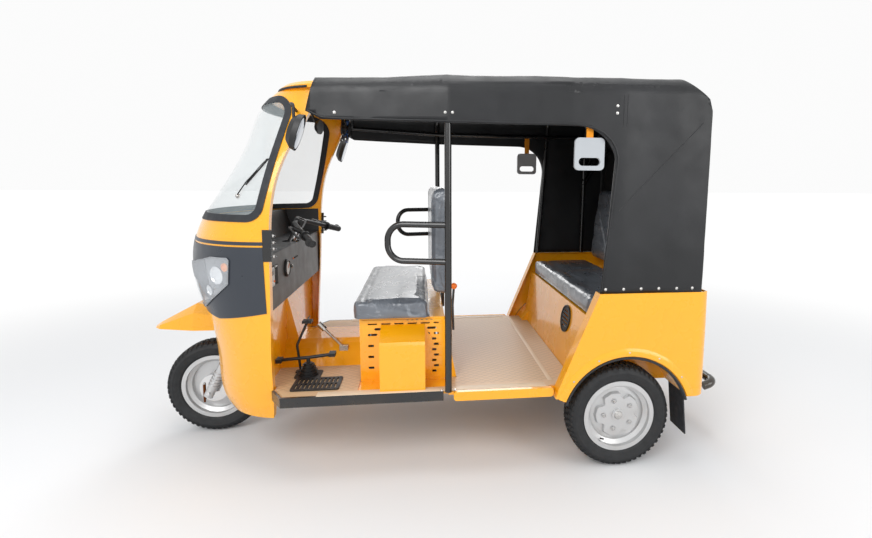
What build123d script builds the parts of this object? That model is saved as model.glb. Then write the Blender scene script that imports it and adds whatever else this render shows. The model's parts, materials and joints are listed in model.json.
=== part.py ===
import math
import os

from build123d import *

# Auto rickshaw with an open two-row cabin, a fabric hood and three wheels.
# Millimetres. +X forward, +Y to the vehicle's left, +Z up, ground at z = 0,
# origin on the ground at the middle of the length and width.

os.makedirs("parts", exist_ok=True)

# Wheels and axles
front_axle_x = 1150.0
wheelbase = 1985.0
rear_axle_x = front_axle_x - wheelbase
tyre_r = 244.0
tyre_half_width = 62.0
bead_r = 153.0
bead_half_width = 44.0
rim_flange_r = 168.5
rim_gauge = 4.2
rear_track = 1124.0
axle_z = tyre_r
seat_gap = 0.3

# Steering geometry
rake_deg = 27.0
steer_ground_x = 1260.0
fork_leg_y = 110.0
fork_tube_r = 17.0
fork_bend_r = 70.0
stem_r = 20.0

# Overall body
sheet = 4.0
floor_z = 400.0
mat_gauge = 5.0
body_half_width = 655.0
length_half = 1425.0
pillar_x = -42.0
pillar_inset = 50.0
pillar_y = body_half_width - pillar_inset
pillar_r = 15.0
body_rear_x = -1240.0
quarter_low_z = 362.0
cut_y = body_half_width + 60.0
contact = 0.2

rake = math.radians(rake_deg)
steer_up = (-math.sin(rake), 0, math.cos(rake))
steer_out = (math.cos(rake), 0, math.sin(rake))
steer_plane = Plane(origin=(steer_ground_x, 0, 0), x_dir=steer_out, z_dir=steer_up)


def steer_point(forward, side, along):
    """World point from distances ahead of, beside and along the steering axis."""
    return steer_plane.from_local_coords(Vector(forward, side, along))


axle_lead = (front_axle_x - steer_ground_x) * math.cos(rake) + axle_z * math.sin(rake)
axle_along = (steer_ground_x - front_axle_x) * math.sin(rake) + axle_z * math.cos(rake)


def side_prism(points, y_low, y_high):
    """Solid with a side-view outline of (x, z) points between two widths."""
    with BuildPart() as prism:
        with BuildSketch(Plane.XZ.offset(-y_high)):
            with BuildLine():
                Polyline(*points, close=True)
            make_face()
        extrude(amount=y_high - y_low)
    return prism.part


def front_prism(points, x_low, x_high):
    """Solid with a front-view outline of (y, z) points between two stations."""
    with BuildPart() as prism:
        with BuildSketch(Plane.YZ.offset(x_low)):
            with BuildLine():
                Polyline(*points, close=True)
            make_face()
        extrude(amount=x_high - x_low)
    return prism.part


def plan_prism(points, z_low, z_high):
    """Solid with a plan outline of (x, y) points between two heights."""
    with BuildPart() as prism:
        with BuildSketch(Plane.XY.offset(z_low)):
            with BuildLine():
                Polyline(*points, close=True)
            make_face()
        extrude(amount=z_high - z_low)
    return prism.part


def block(x_low, x_high, y_low, y_high, z_low, z_high):
    """Plain box between six bounds."""
    with BuildPart() as solid:
        with BuildSketch(Plane.XY.offset(z_low)):
            with Locations(((x_low + x_high) / 2, (y_low + y_high) / 2)):
                Rectangle(x_high - x_low, y_high - y_low)
        extrude(amount=z_high - z_low)
    return solid.part


def tube(points, radius, bend=0.0):
    """Round bar along straight runs joined by bends of one radius."""
    with BuildPart() as bar:
        with BuildLine() as route:
            if bend:
                FilletPolyline(*points, radius=bend)
            else:
                Polyline(*points)
        with BuildSketch(Plane(origin=route.line @ 0, z_dir=route.line % 0)):
            Circle(radius)
        sweep(path=route.line)
    return bar.part


# Nose and windscreen skin: plan sections of one arc across the nose and an
# arc along each side. Columns: z, x at the rear edge, x at the nose, half width
skin_table = (
    (268, 732, 1030, 500),
    (480, 722, 1087, 528),
    (770, 708, 1141, 558),
    (975, 700, 1176, 570),
    (1178, 690, 1100, 572),
    (1480, 602, 905, 522),
    (1745, 524, 705, 462),
)
shoulder_share = 0.62
open_rear = -200.0


def nose_face(x_rear, x_nose, half_width, rear_shift=0.0):
    """Plan section of the nose: an arc across the front and one along each side."""
    reach = x_nose - x_rear
    nose_r = half_width**2 / reach
    shoulder_y = shoulder_share * half_width
    shoulder_x = x_nose - nose_r + math.sqrt(nose_r**2 - shoulder_y**2)
    slope = (-shoulder_y, shoulder_x - (x_nose - nose_r))
    with BuildSketch(Plane.XY) as face:
        with BuildLine():
            ThreePointArc((shoulder_x, -shoulder_y), (x_nose, 0), (shoulder_x, shoulder_y))
            left = TangentArc((shoulder_x, shoulder_y), (x_rear, half_width), tangent=slope)
            mirror(left, about=Plane.XZ)
            if rear_shift:
                Line((x_rear, half_width), (x_rear + rear_shift, half_width))
                Line((x_rear, -half_width), (x_rear + rear_shift, -half_width))
            Line((x_rear + rear_shift, half_width), (x_rear + rear_shift, -half_width))
        make_face()
    return face.sketch


def skin_loft(grow, rear_shift=0.0):
    """Solid inside the skin sections, grown or shrunk by a wall."""
    with BuildPart() as solid:
        for z, x_rear, x_nose, half_width in skin_table:
            with BuildSketch(Plane.XY.offset(z)):
                add(nose_face(x_rear, x_nose + grow, half_width + grow, rear_shift))
        loft()
    return solid.part


def rounded_outline(points, radius, inset=0.0):
    """Side-view outline with rounded corners, drawn as (x, z)."""
    with BuildSketch(Plane.XY) as face:
        with BuildLine():
            Polyline(*points, close=True)
        make_face()
        fillet(face.vertices(), radius)
        if inset:
            offset(amount=-inset)
    return face


def sketch_prism(sketch, y_low, y_high):
    """Solid from a flat side-view sketch drawn as (x, z)."""
    with BuildPart() as prism:
        with BuildSketch(Plane.XZ.offset(-y_high)):
            add(sketch.sketch)
        extrude(amount=y_high - y_low)
    return prism.part


jamb_width = 38.0
skin_outer = skin_loft(0)
skin_inner = skin_loft(-sheet, open_rear)
rear_edge = skin_outer - skin_outer.moved(Location((sheet, 0, 0)))
jamb = (rear_edge & skin_inner) - skin_loft(-jamb_width, open_rear)
skin_shell = (skin_outer - skin_inner) + jamb
cowl_fit = skin_loft(-sheet - seat_gap, open_rear)

# Screen opening, its rubber seal and the teardrop headlamp opening
seal_outline = ((1400, 1150), (729, 1150), (589, 1690), (1400, 1690))
seal_corner_r = 80.0
seal_width = 30.0
seal_rise = 4.0
seal_depth = 9.0
glass_gauge = 5.0
screen_hole = sketch_prism(rounded_outline(seal_outline, seal_corner_r), -cut_y, cut_y)
lamp_outline = (
    (868, 1000),
    (960, 1000),
    (1140, 948),
    (1140, 890),
    (1075, 760),
    (1040, 752),
    (880, 885),
)
lamp_corner_r = 16.0
lamp_inner_y = 250.0
lamp_gap = 0.4
lamp_rise = 9.0
lamp_depth = 40.0
lamp_face = rounded_outline(lamp_outline, lamp_corner_r)
lamp_hole = sketch_prism(lamp_face, lamp_inner_y, cut_y)
lamp_hole_right = sketch_prism(lamp_face, -cut_y, -lamp_inner_y)

# Front cowl: nose and leg shields in one pressing with folded rear jambs
wheel_arch_front = ((370, 0), (345, 400), (330, 470), (300, 627), (250, 690), (150, 735))
arch_outline = list(wheel_arch_front)
arch_outline += [(-y, z) for y, z in reversed(wheel_arch_front)]
wheel_arch = front_prism(arch_outline, 740, 1300)
cowl_low_z = skin_table[0][0]
cowl_top_z = 1178.0
with BuildPart() as front_cowl:
    add(skin_shell & block(400, 1300, -cut_y, cut_y, cowl_low_z, cowl_top_z))
    add(wheel_arch, mode=Mode.SUBTRACT)
    add(lamp_hole, mode=Mode.SUBTRACT)
    add(lamp_hole_right, mode=Mode.SUBTRACT)
    add(screen_hole, mode=Mode.SUBTRACT)
front_cowl.part.label = "front_cowl"
export_step(front_cowl.part, "parts/front_cowl.step")

# Headlamps: teardrop lenses that stand proud of the nose corners
lamp_core = rounded_outline(lamp_outline, lamp_corner_r, lamp_gap)
lamp_prism = sketch_prism(lamp_core, lamp_inner_y + lamp_gap, cut_y)
with BuildPart() as headlamps:
    add((skin_loft(lamp_rise) - skin_loft(-lamp_depth, open_rear)) & lamp_prism)
    mirror(about=Plane.XZ)
headlamps.part.label = "headlamps"
export_step(headlamps.part, "parts/headlamps.step")

# Charcoal fascia band between the leg shields, and the strip above it
hinge_front_x = 722.0
band_x = hinge_front_x + 1.0
fascia_outline = (
    (band_x, 762),
    (950, 722),
    (1100, 742),
    (1300, 752),
    (1300, 1046),
    (band_x, 1046),
)
strip_outline = ((band_x, 1054), (1300, 1054), (1300, 1068), (band_x, 1068))
fascia_gauge = 3.0
fascia_shell = skin_loft(fascia_gauge) - skin_loft(contact, open_rear)
with BuildPart() as front_fascia:
    add(fascia_shell & side_prism(fascia_outline, -cut_y, cut_y))
    add(wheel_arch, mode=Mode.SUBTRACT)
    add(lamp_hole, mode=Mode.SUBTRACT)
    add(lamp_hole_right, mode=Mode.SUBTRACT)
    add(fascia_shell & side_prism(strip_outline, -cut_y, cut_y))
front_fascia.part.label = "front_fascia"
export_step(front_fascia.part, "parts/front_fascia.step")

# Hinge plates on both rear edges of the nose, with studs that point rearward
hinge_low_z = 986.0
hinge_high_z = 1119.0
hinge_tail = 12.0
hinge_gauge = 3.0
stud_x = (668.0, 690.0)
stud_y = 572.0
stud_r = 4.0
stud_heights = (1008.0, 1040.0, 1066.0, 1094.0)
with BuildPart() as door_hinges:
    hinge_shell = skin_loft(contact + hinge_gauge, -hinge_tail) - skin_loft(contact, open_rear)
    add(hinge_shell & block(500, hinge_front_x, 400, cut_y, hinge_low_z, hinge_high_z))
    with BuildSketch(Plane.YZ.offset(stud_x[0])):
        for z in stud_heights:
            with Locations((stud_y, z)):
                Circle(stud_r)
    extrude(amount=stud_x[1] - stud_x[0])
    mirror(about=Plane.XZ)
door_hinges.part.label = "door_hinges"
export_step(door_hinges.part, "parts/door_hinges.step")

# Windscreen frame: both pillars and the roof header over a wrapped glass
header_z = 1712.0
with BuildPart() as windscreen_frame:
    add(skin_shell & block(400, 1300, -cut_y, cut_y, cowl_top_z, header_z))
    add(screen_hole, mode=Mode.SUBTRACT)
windscreen_frame.part.label = "windscreen_frame"
export_step(windscreen_frame.part, "parts/windscreen_frame.step")

seal_inner = rounded_outline(seal_outline, seal_corner_r, seal_width)
with BuildPart() as windscreen_seal:
    add((skin_loft(seal_rise) - skin_loft(-seal_depth, open_rear)) & screen_hole)
    add(sketch_prism(seal_inner, -cut_y, cut_y), mode=Mode.SUBTRACT)
windscreen_seal.part.label = "windscreen_seal"
export_step(windscreen_seal.part, "parts/windscreen_seal.step")

glass_edge = rounded_outline(seal_outline, seal_corner_r, seal_width + seat_gap)
with BuildPart() as windscreen_glass:
    add(skin_outer - skin_loft(-glass_gauge, open_rear))
    add(sketch_prism(glass_edge, -cut_y, cut_y), mode=Mode.INTERSECT)
windscreen_glass.part.label = "windscreen_glass"
export_step(windscreen_glass.part, "parts/windscreen_glass.step")

# Roof cap over the header. Columns: height above the header, x at the nose, half width
cap_rear_x = 512.0
cap_table = ((contact, 744, 483), (14, 744, 483), (30, 722, 460), (38, 660, 400))
with BuildPart() as roof_cap:
    for rise, x_nose, half_width in cap_table:
        with BuildSketch(Plane.XY.offset(header_z + rise)):
            add(nose_face(cap_rear_x, x_nose, half_width))
    loft(ruled=True)
    for lift, (rise, x_nose, half_width) in zip((sheet, 0, -sheet, -sheet), cap_table):
        with BuildSketch(Plane.XY.offset(header_z + rise + lift)):
            add(nose_face(cap_rear_x, x_nose - sheet, half_width - sheet, -sheet))
    loft(ruled=True, mode=Mode.SUBTRACT)
roof_cap.part.label = "roof_cap"
export_step(roof_cap.part, "parts/roof_cap.step")

# Dashboard: grey lower panel, and a black upper tray that leaves the bars room
dash_low_z = 757.0
dash_shelf_z = 1000.0
dash_face_x = 716.0
dash_gauge = 6.0
tray_back_x = 872.0
column_hole_r = 42.0
dash_profile = (
    (dash_face_x, dash_low_z),
    (dash_face_x, dash_shelf_z),
    (dash_face_x + dash_gauge, dash_shelf_z),
    (dash_face_x + dash_gauge, dash_low_z + dash_gauge),
    (dash_face_x + 40, dash_low_z + dash_gauge),
    (dash_face_x + 40, dash_low_z),
)
glovebox = (380, 500, 850, 960)
glovebox_wall = 10.0
with BuildPart() as dashboard:
    add(side_prism(dash_profile, -cut_y, cut_y) & cowl_fit)
    add(block(dash_face_x, dash_face_x + 60, *glovebox) & cowl_fit)
    glovebox_hollow = (
        glovebox[0] + glovebox_wall,
        glovebox[1] - glovebox_wall,
        glovebox[2] + glovebox_wall,
        glovebox[3] - glovebox_wall,
    )
    add(block(dash_face_x - 1, dash_face_x + 50, *glovebox_hollow), mode=Mode.SUBTRACT)
dashboard.part.label = "dashboard"
export_step(dashboard.part, "parts/dashboard.step")

tray_wall_x = 905.0
tray_deck_z = 1146.0
tray_profile = (
    (dash_face_x, dash_shelf_z + seat_gap),
    (tray_back_x, dash_shelf_z + seat_gap),
    (tray_wall_x, tray_deck_z - dash_gauge),
    (1300, tray_deck_z - dash_gauge),
    (1300, tray_deck_z),
    (tray_wall_x - dash_gauge, tray_deck_z),
    (tray_back_x - dash_gauge, dash_shelf_z + dash_gauge),
    (dash_face_x, dash_shelf_z + dash_gauge),
)
liner_gauge = 3.0
liner_shell = cowl_fit - skin_loft(-sheet - seat_gap - liner_gauge, open_rear)
with BuildPart() as dash_tray:
    add(side_prism(tray_profile, -cut_y, cut_y) & cowl_fit)
    add(liner_shell & block(dash_face_x, 1300, -cut_y, cut_y, dash_shelf_z + seat_gap, tray_deck_z))
    with BuildSketch(Plane(origin=steer_point(0, 0, 1000), z_dir=steer_up)):
        Circle(column_hole_r)
    extrude(amount=240, mode=Mode.SUBTRACT)
dash_tray.part.label = "dash_tray"
export_step(dash_tray.part, "parts/dash_tray.step")

# Toe board behind the front wheel, and the tunnel with its sloping hump
toe_x = 762.0
tunnel_rear_x = 356.0
tunnel_top_z = 505.0
hump_foot_x = 705.0
hump_top_x = 757.0
hump_top_z = 735.0
tunnel_top_half = 100.0
tunnel_foot_half = 240.0
mat_top_z = floor_z + mat_gauge
with BuildPart() as toe_board:
    add(block(toe_x, toe_x + sheet, -cut_y, cut_y, floor_z, dash_low_z - 1) & cowl_fit)
    hump_gap = (toe_x - 1, toe_x + 10, -tunnel_top_half, tunnel_top_half, floor_z - 1, hump_top_z)
    add(block(*hump_gap), mode=Mode.SUBTRACT)
toe_board.part.label = "toe_board"
export_step(toe_board.part, "parts/toe_board.step")

tunnel_outline = (
    (tunnel_rear_x, floor_z + seat_gap),
    (tunnel_rear_x, tunnel_top_z),
    (hump_foot_x, tunnel_top_z),
    (hump_top_x, hump_top_z),
    (toe_x - seat_gap, hump_top_z),
    (toe_x - seat_gap, floor_z + seat_gap),
)
tunnel_section = (
    (-tunnel_foot_half, floor_z),
    (-tunnel_top_half - 20, tunnel_top_z - 20),
    (-tunnel_top_half, tunnel_top_z),
    (-tunnel_top_half, 800),
    (tunnel_top_half, 800),
    (tunnel_top_half, tunnel_top_z),
    (tunnel_top_half + 20, tunnel_top_z - 20),
    (tunnel_foot_half, floor_z),
)
hollow_outline = (
    (tunnel_rear_x - 1, floor_z - 1),
    (tunnel_rear_x - 1, tunnel_top_z - sheet),
    (hump_foot_x + 2, tunnel_top_z - sheet),
    (hump_top_x + 4, hump_top_z - sheet),
    (toe_x + 1, hump_top_z - sheet),
    (toe_x + 1, floor_z - 1),
)
hollow_section = (
    (-tunnel_foot_half + 6, floor_z - 1),
    (-tunnel_top_half - 17, tunnel_top_z - 23),
    (-tunnel_top_half + sheet, tunnel_top_z - sheet),
    (-tunnel_top_half + sheet, 801),
    (tunnel_top_half - sheet, 801),
    (tunnel_top_half - sheet, tunnel_top_z - sheet),
    (tunnel_top_half + 17, tunnel_top_z - 23),
    (tunnel_foot_half - 6, floor_z - 1),
)
tunnel_outer = side_prism(tunnel_outline, -300, 300) & front_prism(tunnel_section, 300, 800)
with BuildPart() as centre_tunnel:
    add(tunnel_outer)
    tunnel_hollow = side_prism(hollow_outline, -300, 300)
    add(tunnel_hollow & front_prism(hollow_section, 300, 800), mode=Mode.SUBTRACT)
centre_tunnel.part.label = "centre_tunnel"
export_step(centre_tunnel.part, "parts/centre_tunnel.step")

# Engine bay under the driver's seat
engine_x = (0.0, 330.0)
engine_half_y = 175.0

# Chassis: two long rails, cross members, gooseneck and head tube
rail_y = 230.0
rail_half = 20.0
rail_top_z = 388.0
rail_low_z = 328.0
rail_front_x = 700.0
rail_rear_x = -1185.0
cross_stations = (680.0, engine_x[1] + 20.3, engine_x[0] - 20.3, -620.0, -1165.0)
outrigger_stations = (640.0, 20.0, -460.0)
outrigger_y = 575.0
gooseneck = ((670, 340), (670, 386), (870, 775), (935, 740), (720, 340))
head_low = 820.0
head_high = 960.0
head_tube_r = 30.0
with BuildPart() as chassis_frame:
    with BuildSketch(Plane.XY.offset(rail_low_z)):
        for y in (-rail_y, rail_y):
            with Locations(((rail_front_x + rail_rear_x) / 2, y)):
                Rectangle(rail_front_x - rail_rear_x, 2 * rail_half)
        for x in cross_stations:
            with Locations((x, 0)):
                Rectangle(40, 2 * rail_y)
    extrude(amount=rail_top_z - rail_low_z)
    with BuildSketch(Plane.XY.offset(rail_low_z + 20)):
        for x in outrigger_stations:
            for side in (-1, 1):
                with Locations((x, side * (rail_y + outrigger_y) / 2)):
                    Rectangle(30, outrigger_y - rail_y)
    extrude(amount=40)
    add(side_prism(gooseneck, -25, 25))
    with BuildSketch(steer_plane.offset(head_low)):
        Circle(head_tube_r)
    extrude(amount=head_high - head_low)
    with BuildSketch(steer_plane.offset(head_low - 60)):
        Circle(stem_r + seat_gap)
    extrude(amount=head_high - head_low + 120, mode=Mode.SUBTRACT)
chassis_frame.part.label = "chassis_frame"
export_step(chassis_frame.part, "parts/chassis_frame.step")

# Wheel tubs, which the floor and the bench are cut round
arch_x = -850.0
arch_r = 297.0
tub_inner_y = 470.0


def wheel_cylinder(radius, y_low, y_high):
    """Cylinder on the arch centre, across the vehicle."""
    with BuildPart() as drum:
        with BuildSketch(Plane.XZ.offset(-y_high)):
            with Locations((arch_x, axle_z)):
                Circle(radius)
        extrude(amount=y_high - y_low)
    return drum.part


# Floor: steel pan on the rails, with the engine opening under the driver
bench_foot_x = -632.0
quarter_foot_x = -517.0
front_floor_y = pillar_y - 9.0
rear_floor_y = pillar_y + 7.0
bench_floor_y = body_half_width - 60.3
pan_low_z = rail_top_z + contact
pan_nose = ((668, front_floor_y), (721, 514), (721, 475), (toe_x - seat_gap, 475))
pan_front = [(pillar_x, front_floor_y), *pan_nose]
pan_front += [(x, -y) for x, y in reversed(pan_front)]
tub_fit_r = arch_r + sheet + seat_gap
tub_clear = wheel_cylinder(tub_fit_r, tub_inner_y - seat_gap, cut_y)
tub_clear_right = wheel_cylinder(tub_fit_r, -cut_y, seat_gap - tub_inner_y)
with BuildPart() as floor_pan:
    add(block(quarter_foot_x + 3, pillar_x, -rear_floor_y, rear_floor_y, pan_low_z, floor_z))
    add(block(bench_foot_x, -500, -bench_floor_y, bench_floor_y, pan_low_z, floor_z))
    add(plan_prism(pan_front, pan_low_z, floor_z))
    add(block(-25, 346, -420, 420, 300, 420), mode=Mode.SUBTRACT)
    add(tub_clear, mode=Mode.SUBTRACT)
    add(tub_clear_right, mode=Mode.SUBTRACT)
    add(block(660, 780, -96, 96, 300, 420), mode=Mode.SUBTRACT)
floor_pan.part.label = "floor_pan"
export_step(floor_pan.part, "parts/floor_pan.step")

seat_front_x = 354.0
seat_rear_x = -33.0
seat_half_y = 450.0
gusset_rear_x = -88.0
mat_inset = 4.0
mat_gap = 2.0
mat_corner_r = 36.0
mat_outline = (
    (seat_front_x + mat_gap, tunnel_foot_half + 5),
    (seat_front_x + mat_gap, front_floor_y - mat_inset),
    (666, front_floor_y - mat_inset),
    (717, 513),
    (717, 474),
    (toe_x - 5, 474),
    (toe_x - 5, tunnel_foot_half + 5),
)
with BuildPart() as floor_mats:
    rear_mat_y = rear_floor_y - mat_inset - 2
    with BuildSketch(Plane.XY.offset(floor_z)):
        with Locations(((quarter_foot_x + 3 + seat_rear_x - mat_gap) / 2, 0)):
            rear_mat_length = seat_rear_x - mat_gap - quarter_foot_x - 3
            RectangleRounded(rear_mat_length, 2 * rear_mat_y, mat_corner_r)
    extrude(amount=mat_gauge)
    back_y = bench_floor_y - 3
    add(block(bench_foot_x + mat_gap, -470, -back_y, back_y, floor_z, mat_top_z))
    add(tub_clear, mode=Mode.SUBTRACT)
    add(tub_clear_right, mode=Mode.SUBTRACT)
    for side in (-1, 1):
        with BuildSketch(Plane.XY.offset(floor_z)):
            with Locations((pillar_x, side * pillar_y)):
                Rectangle(2 * pillar_r + 4, 2 * pillar_r + 10)
        extrude(amount=mat_gauge, mode=Mode.SUBTRACT)
        gusset_y = sorted((side * (seat_half_y + mat_gap), side * (seat_half_y - sheet - mat_gap)))
        gusset_slot = (gusset_rear_x - mat_gap, seat_rear_x + 1, *gusset_y, floor_z, mat_top_z)
        add(block(*gusset_slot), mode=Mode.SUBTRACT)
        add(plan_prism([(x, side * y) for x, y in mat_outline], floor_z, mat_top_z))
floor_mats.part.label = "floor_mats"
export_step(floor_mats.part, "parts/floor_mats.step")

# Sills: black angle beside the driver, yellow channel beside the passengers
sill_y = front_floor_y + seat_gap
sill_outer_y = pillar_y + 2.0
sill_outline = (
    (pillar_x + 22, sill_y),
    (pillar_x + 22, sill_outer_y),
    (674.5, sill_outer_y),
    (730.5, 520.1),
    (721.3, 514.3),
    (668.2, sill_y),
)
with BuildPart() as front_sills:
    add(plan_prism(sill_outline, 360, 404))
    mirror(about=Plane.XZ)
front_sills.part.label = "front_sills"
export_step(front_sills.part, "parts/front_sills.step")

rear_sill_outline = (
    (quarter_foot_x + 3, 366),
    (quarter_foot_x + 3, 407),
    (pillar_x - 22, 407),
    (pillar_x - 22, 366),
)
with BuildPart() as rear_sills:
    rear_sill_face = rounded_outline(rear_sill_outline, 14)
    add(sketch_prism(rear_sill_face, rear_floor_y + seat_gap, rear_floor_y + 20))
    mirror(about=Plane.XZ)
rear_sills.part.label = "rear_sills"
export_step(rear_sills.part, "parts/rear_sills.step")

# Rear body: quarter panels and rear panel with wheel tubs
body_top_z = 836.0
body_corner_r = 70.0
quarter_outline = (
    (quarter_foot_x, quarter_low_z),
    (-529, 406),
    (-706, body_top_z),
    (-1216, body_top_z),
    (body_rear_x, 345),
    (-1000, 345),
)
quarter_jamb = 60.0
top_flange = 25.0
back_shelf = 46.0
body_hollow = (
    (-400, 300),
    (-400, body_top_z + 10),
    (-1216 + sheet, body_top_z + 10),
    (body_rear_x - 2 + sheet, 300),
)


def body_plan(grow, front_x):
    """Plan-rounded column for the rear body, open at its front."""
    half = body_half_width + grow
    with BuildPart() as column:
        with BuildSketch(Plane.XY.offset(300)):
            with BuildLine():
                FilletPolyline(
                    (front_x, half),
                    (body_rear_x - grow, half),
                    (body_rear_x - grow, -half),
                    (front_x, -half),
                    radius=body_corner_r + grow,
                )
                Line((front_x, half), (front_x, -half))
            make_face()
        extrude(amount=600)
    return column.part


body_column = body_plan(0, -450)
body_core = body_plan(-sheet, -440)
quarter_prism = side_prism(quarter_outline, -cut_y, cut_y)
jamb_line = list(quarter_outline[:3])
jamb_line += [(x - 5, z) for x, z in reversed(quarter_outline[:3])]
wall_y = body_half_width - sheet / 2
tub_blank = block(-1300, -400, -cut_y, cut_y, quarter_low_z, 700) & body_column
with BuildPart() as rear_body:
    add((body_column & quarter_prism) - (body_core & side_prism(body_hollow, -cut_y, cut_y)))
    back_x = -1216 + sheet / 2
    add(block(back_x, back_x + back_shelf, -600, 600, body_top_z - sheet, body_top_z))
    add(block(-1190, -708, wall_y - top_flange, wall_y, body_top_z - sheet, body_top_z))
    add(block(-1190, -708, -wall_y, top_flange - wall_y, body_top_z - sheet, body_top_z))
    add(side_prism(jamb_line, body_half_width - quarter_jamb, wall_y))
    add(side_prism(jamb_line, -wall_y, quarter_jamb - body_half_width))
    add(wheel_cylinder(arch_r + sheet, tub_inner_y, wall_y) & tub_blank)
    add(wheel_cylinder(arch_r + sheet, -wall_y, -tub_inner_y) & tub_blank)
    add(wheel_cylinder(arch_r, tub_inner_y + sheet, cut_y), mode=Mode.SUBTRACT)
    add(wheel_cylinder(arch_r, -cut_y, -tub_inner_y - sheet), mode=Mode.SUBTRACT)
    for side in (-1, 1):
        rail_low_y = side * rail_y - rail_half - 2
        rail_high_y = side * rail_y + rail_half + 2
        add(block(-1260, -1200, rail_low_y, rail_high_y, 300, 372), mode=Mode.SUBTRACT)
rear_body.part.label = "rear_body"
export_step(rear_body.part, "parts/rear_body.step")

# Passenger bench: slanted front panel and deck
bench_top_z = 710.0
bench_rear_x = -1205.0
bench_lip_x = -684.0
bench_half_y = body_half_width - 65.0
bench_profile = (
    (bench_foot_x, floor_z + seat_gap),
    (bench_lip_x, bench_top_z),
    (bench_rear_x, bench_top_z),
    (bench_rear_x, bench_top_z - sheet),
    (bench_lip_x - sheet, bench_top_z - sheet),
    (bench_foot_x - sheet, floor_z + seat_gap),
)
bench_lean = math.atan2(bench_foot_x - bench_lip_x, bench_top_z - floor_z)
bench_normal = (math.cos(bench_lean), 0, math.sin(bench_lean))
vent_y = 278.0
vent_z = 624.0
vent_r = 69.0
vent_x = bench_foot_x - (vent_z - floor_z) * math.tan(bench_lean)
vent_plane = Plane(origin=(vent_x, vent_y, vent_z), x_dir=(0, 1, 0), z_dir=bench_normal)
shelf_y = wall_y - 2.5
with BuildPart() as passenger_bench:
    add(side_prism(bench_profile, -bench_half_y, bench_half_y))
    add(block(-1100, -760, -shelf_y, shelf_y, bench_top_z - sheet, bench_top_z))
    add(tub_clear, mode=Mode.SUBTRACT)
    add(tub_clear_right, mode=Mode.SUBTRACT)
    with BuildSketch(vent_plane.offset(-10)):
        Circle(vent_r - 8)
    extrude(amount=20, mode=Mode.SUBTRACT)
passenger_bench.part.label = "passenger_bench"
export_step(passenger_bench.part, "parts/passenger_bench.step")

# Round louvred vent on the bench front
vent_slots = ((-39, 58), (-19.5, 88), (0, 98), (19.5, 88), (39, 58))
vent_slot_height = 8.0
vent_gauge = 5.0
with BuildPart() as bench_vent:
    with BuildSketch(vent_plane.offset(seat_gap)):
        Circle(vent_r)
        for offset_z, width in vent_slots:
            with Locations((0, offset_z)):
                SlotOverall(width, vent_slot_height, mode=Mode.SUBTRACT)
    extrude(amount=vent_gauge)
    with BuildSketch(vent_plane.offset(seat_gap + vent_gauge)):
        Circle(vent_r)
        Circle(vent_r - 7, mode=Mode.SUBTRACT)
    extrude(amount=3)
bench_vent.part.label = "bench_vent"
export_step(bench_vent.part, "parts/bench_vent.step")


def cushion(x_low, x_high, half_y, z_low, z_high, corner, edge):
    """Plain pad with rounded corners and softened edges."""
    with BuildPart() as pad:
        with BuildSketch(Plane.XY.offset(z_low)):
            with Locations(((x_low + x_high) / 2, 0)):
                RectangleRounded(x_high - x_low, 2 * half_y, corner)
        extrude(amount=z_high - z_low)
        fillet(pad.edges().group_by(Axis.Z)[-1], edge)
    return pad


pad_half_y = bench_half_y - 30.0
passenger_cushion = cushion(-1070, -688, pad_half_y, bench_top_z + seat_gap, 800, 30, 24)
passenger_cushion.part.label = "passenger_cushion"
export_step(passenger_cushion.part, "parts/passenger_cushion.step")

back_lean = math.radians(6.5)
back_normal = (-math.cos(back_lean), 0, -math.sin(back_lean))
back_plane = Plane(origin=(-1071.5, 0, 808), x_dir=(0, 1, 0), z_dir=back_normal)
back_height = 470.0
with BuildPart() as passenger_backrest:
    with BuildSketch(back_plane):
        with Locations((0, -back_height / 2)):
            RectangleRounded(2 * pad_half_y, back_height, 40)
    extrude(amount=60.5)
    fillet(passenger_backrest.faces().sort_by(Axis.X)[-1].edges(), 22)
passenger_backrest.part.label = "passenger_backrest"
export_step(passenger_backrest.part, "parts/passenger_backrest.step")

# Driver's seat: box base over the engine, slotted side grilles, cushion, backrest
seat_top_z = 700.0
window_x = (seat_rear_x + 27, seat_front_x - 27)
window_z = (430.0, 674.0)
gusset_outline = (
    (seat_rear_x + 1, mat_top_z + contact),
    (gusset_rear_x, mat_top_z + contact),
    (seat_rear_x + 1, seat_top_z - 7),
)
seat_hollow = (
    seat_rear_x + sheet,
    seat_front_x - sheet,
    -seat_half_y + sheet,
    seat_half_y - sheet,
    floor_z - 1,
    seat_top_z - sheet,
)
with BuildPart() as seat_base:
    add(block(seat_rear_x, seat_front_x, -seat_half_y, seat_half_y, floor_z + contact, seat_top_z))
    add(block(*seat_hollow), mode=Mode.SUBTRACT)
    add(block(*window_x, -cut_y, cut_y, *window_z), mode=Mode.SUBTRACT)
    add(side_prism(gusset_outline, seat_half_y - sheet, seat_half_y))
    add(side_prism(gusset_outline, -seat_half_y, sheet - seat_half_y))
seat_base.part.label = "seat_base"
export_step(seat_base.part, "parts/seat_base.step")

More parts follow.
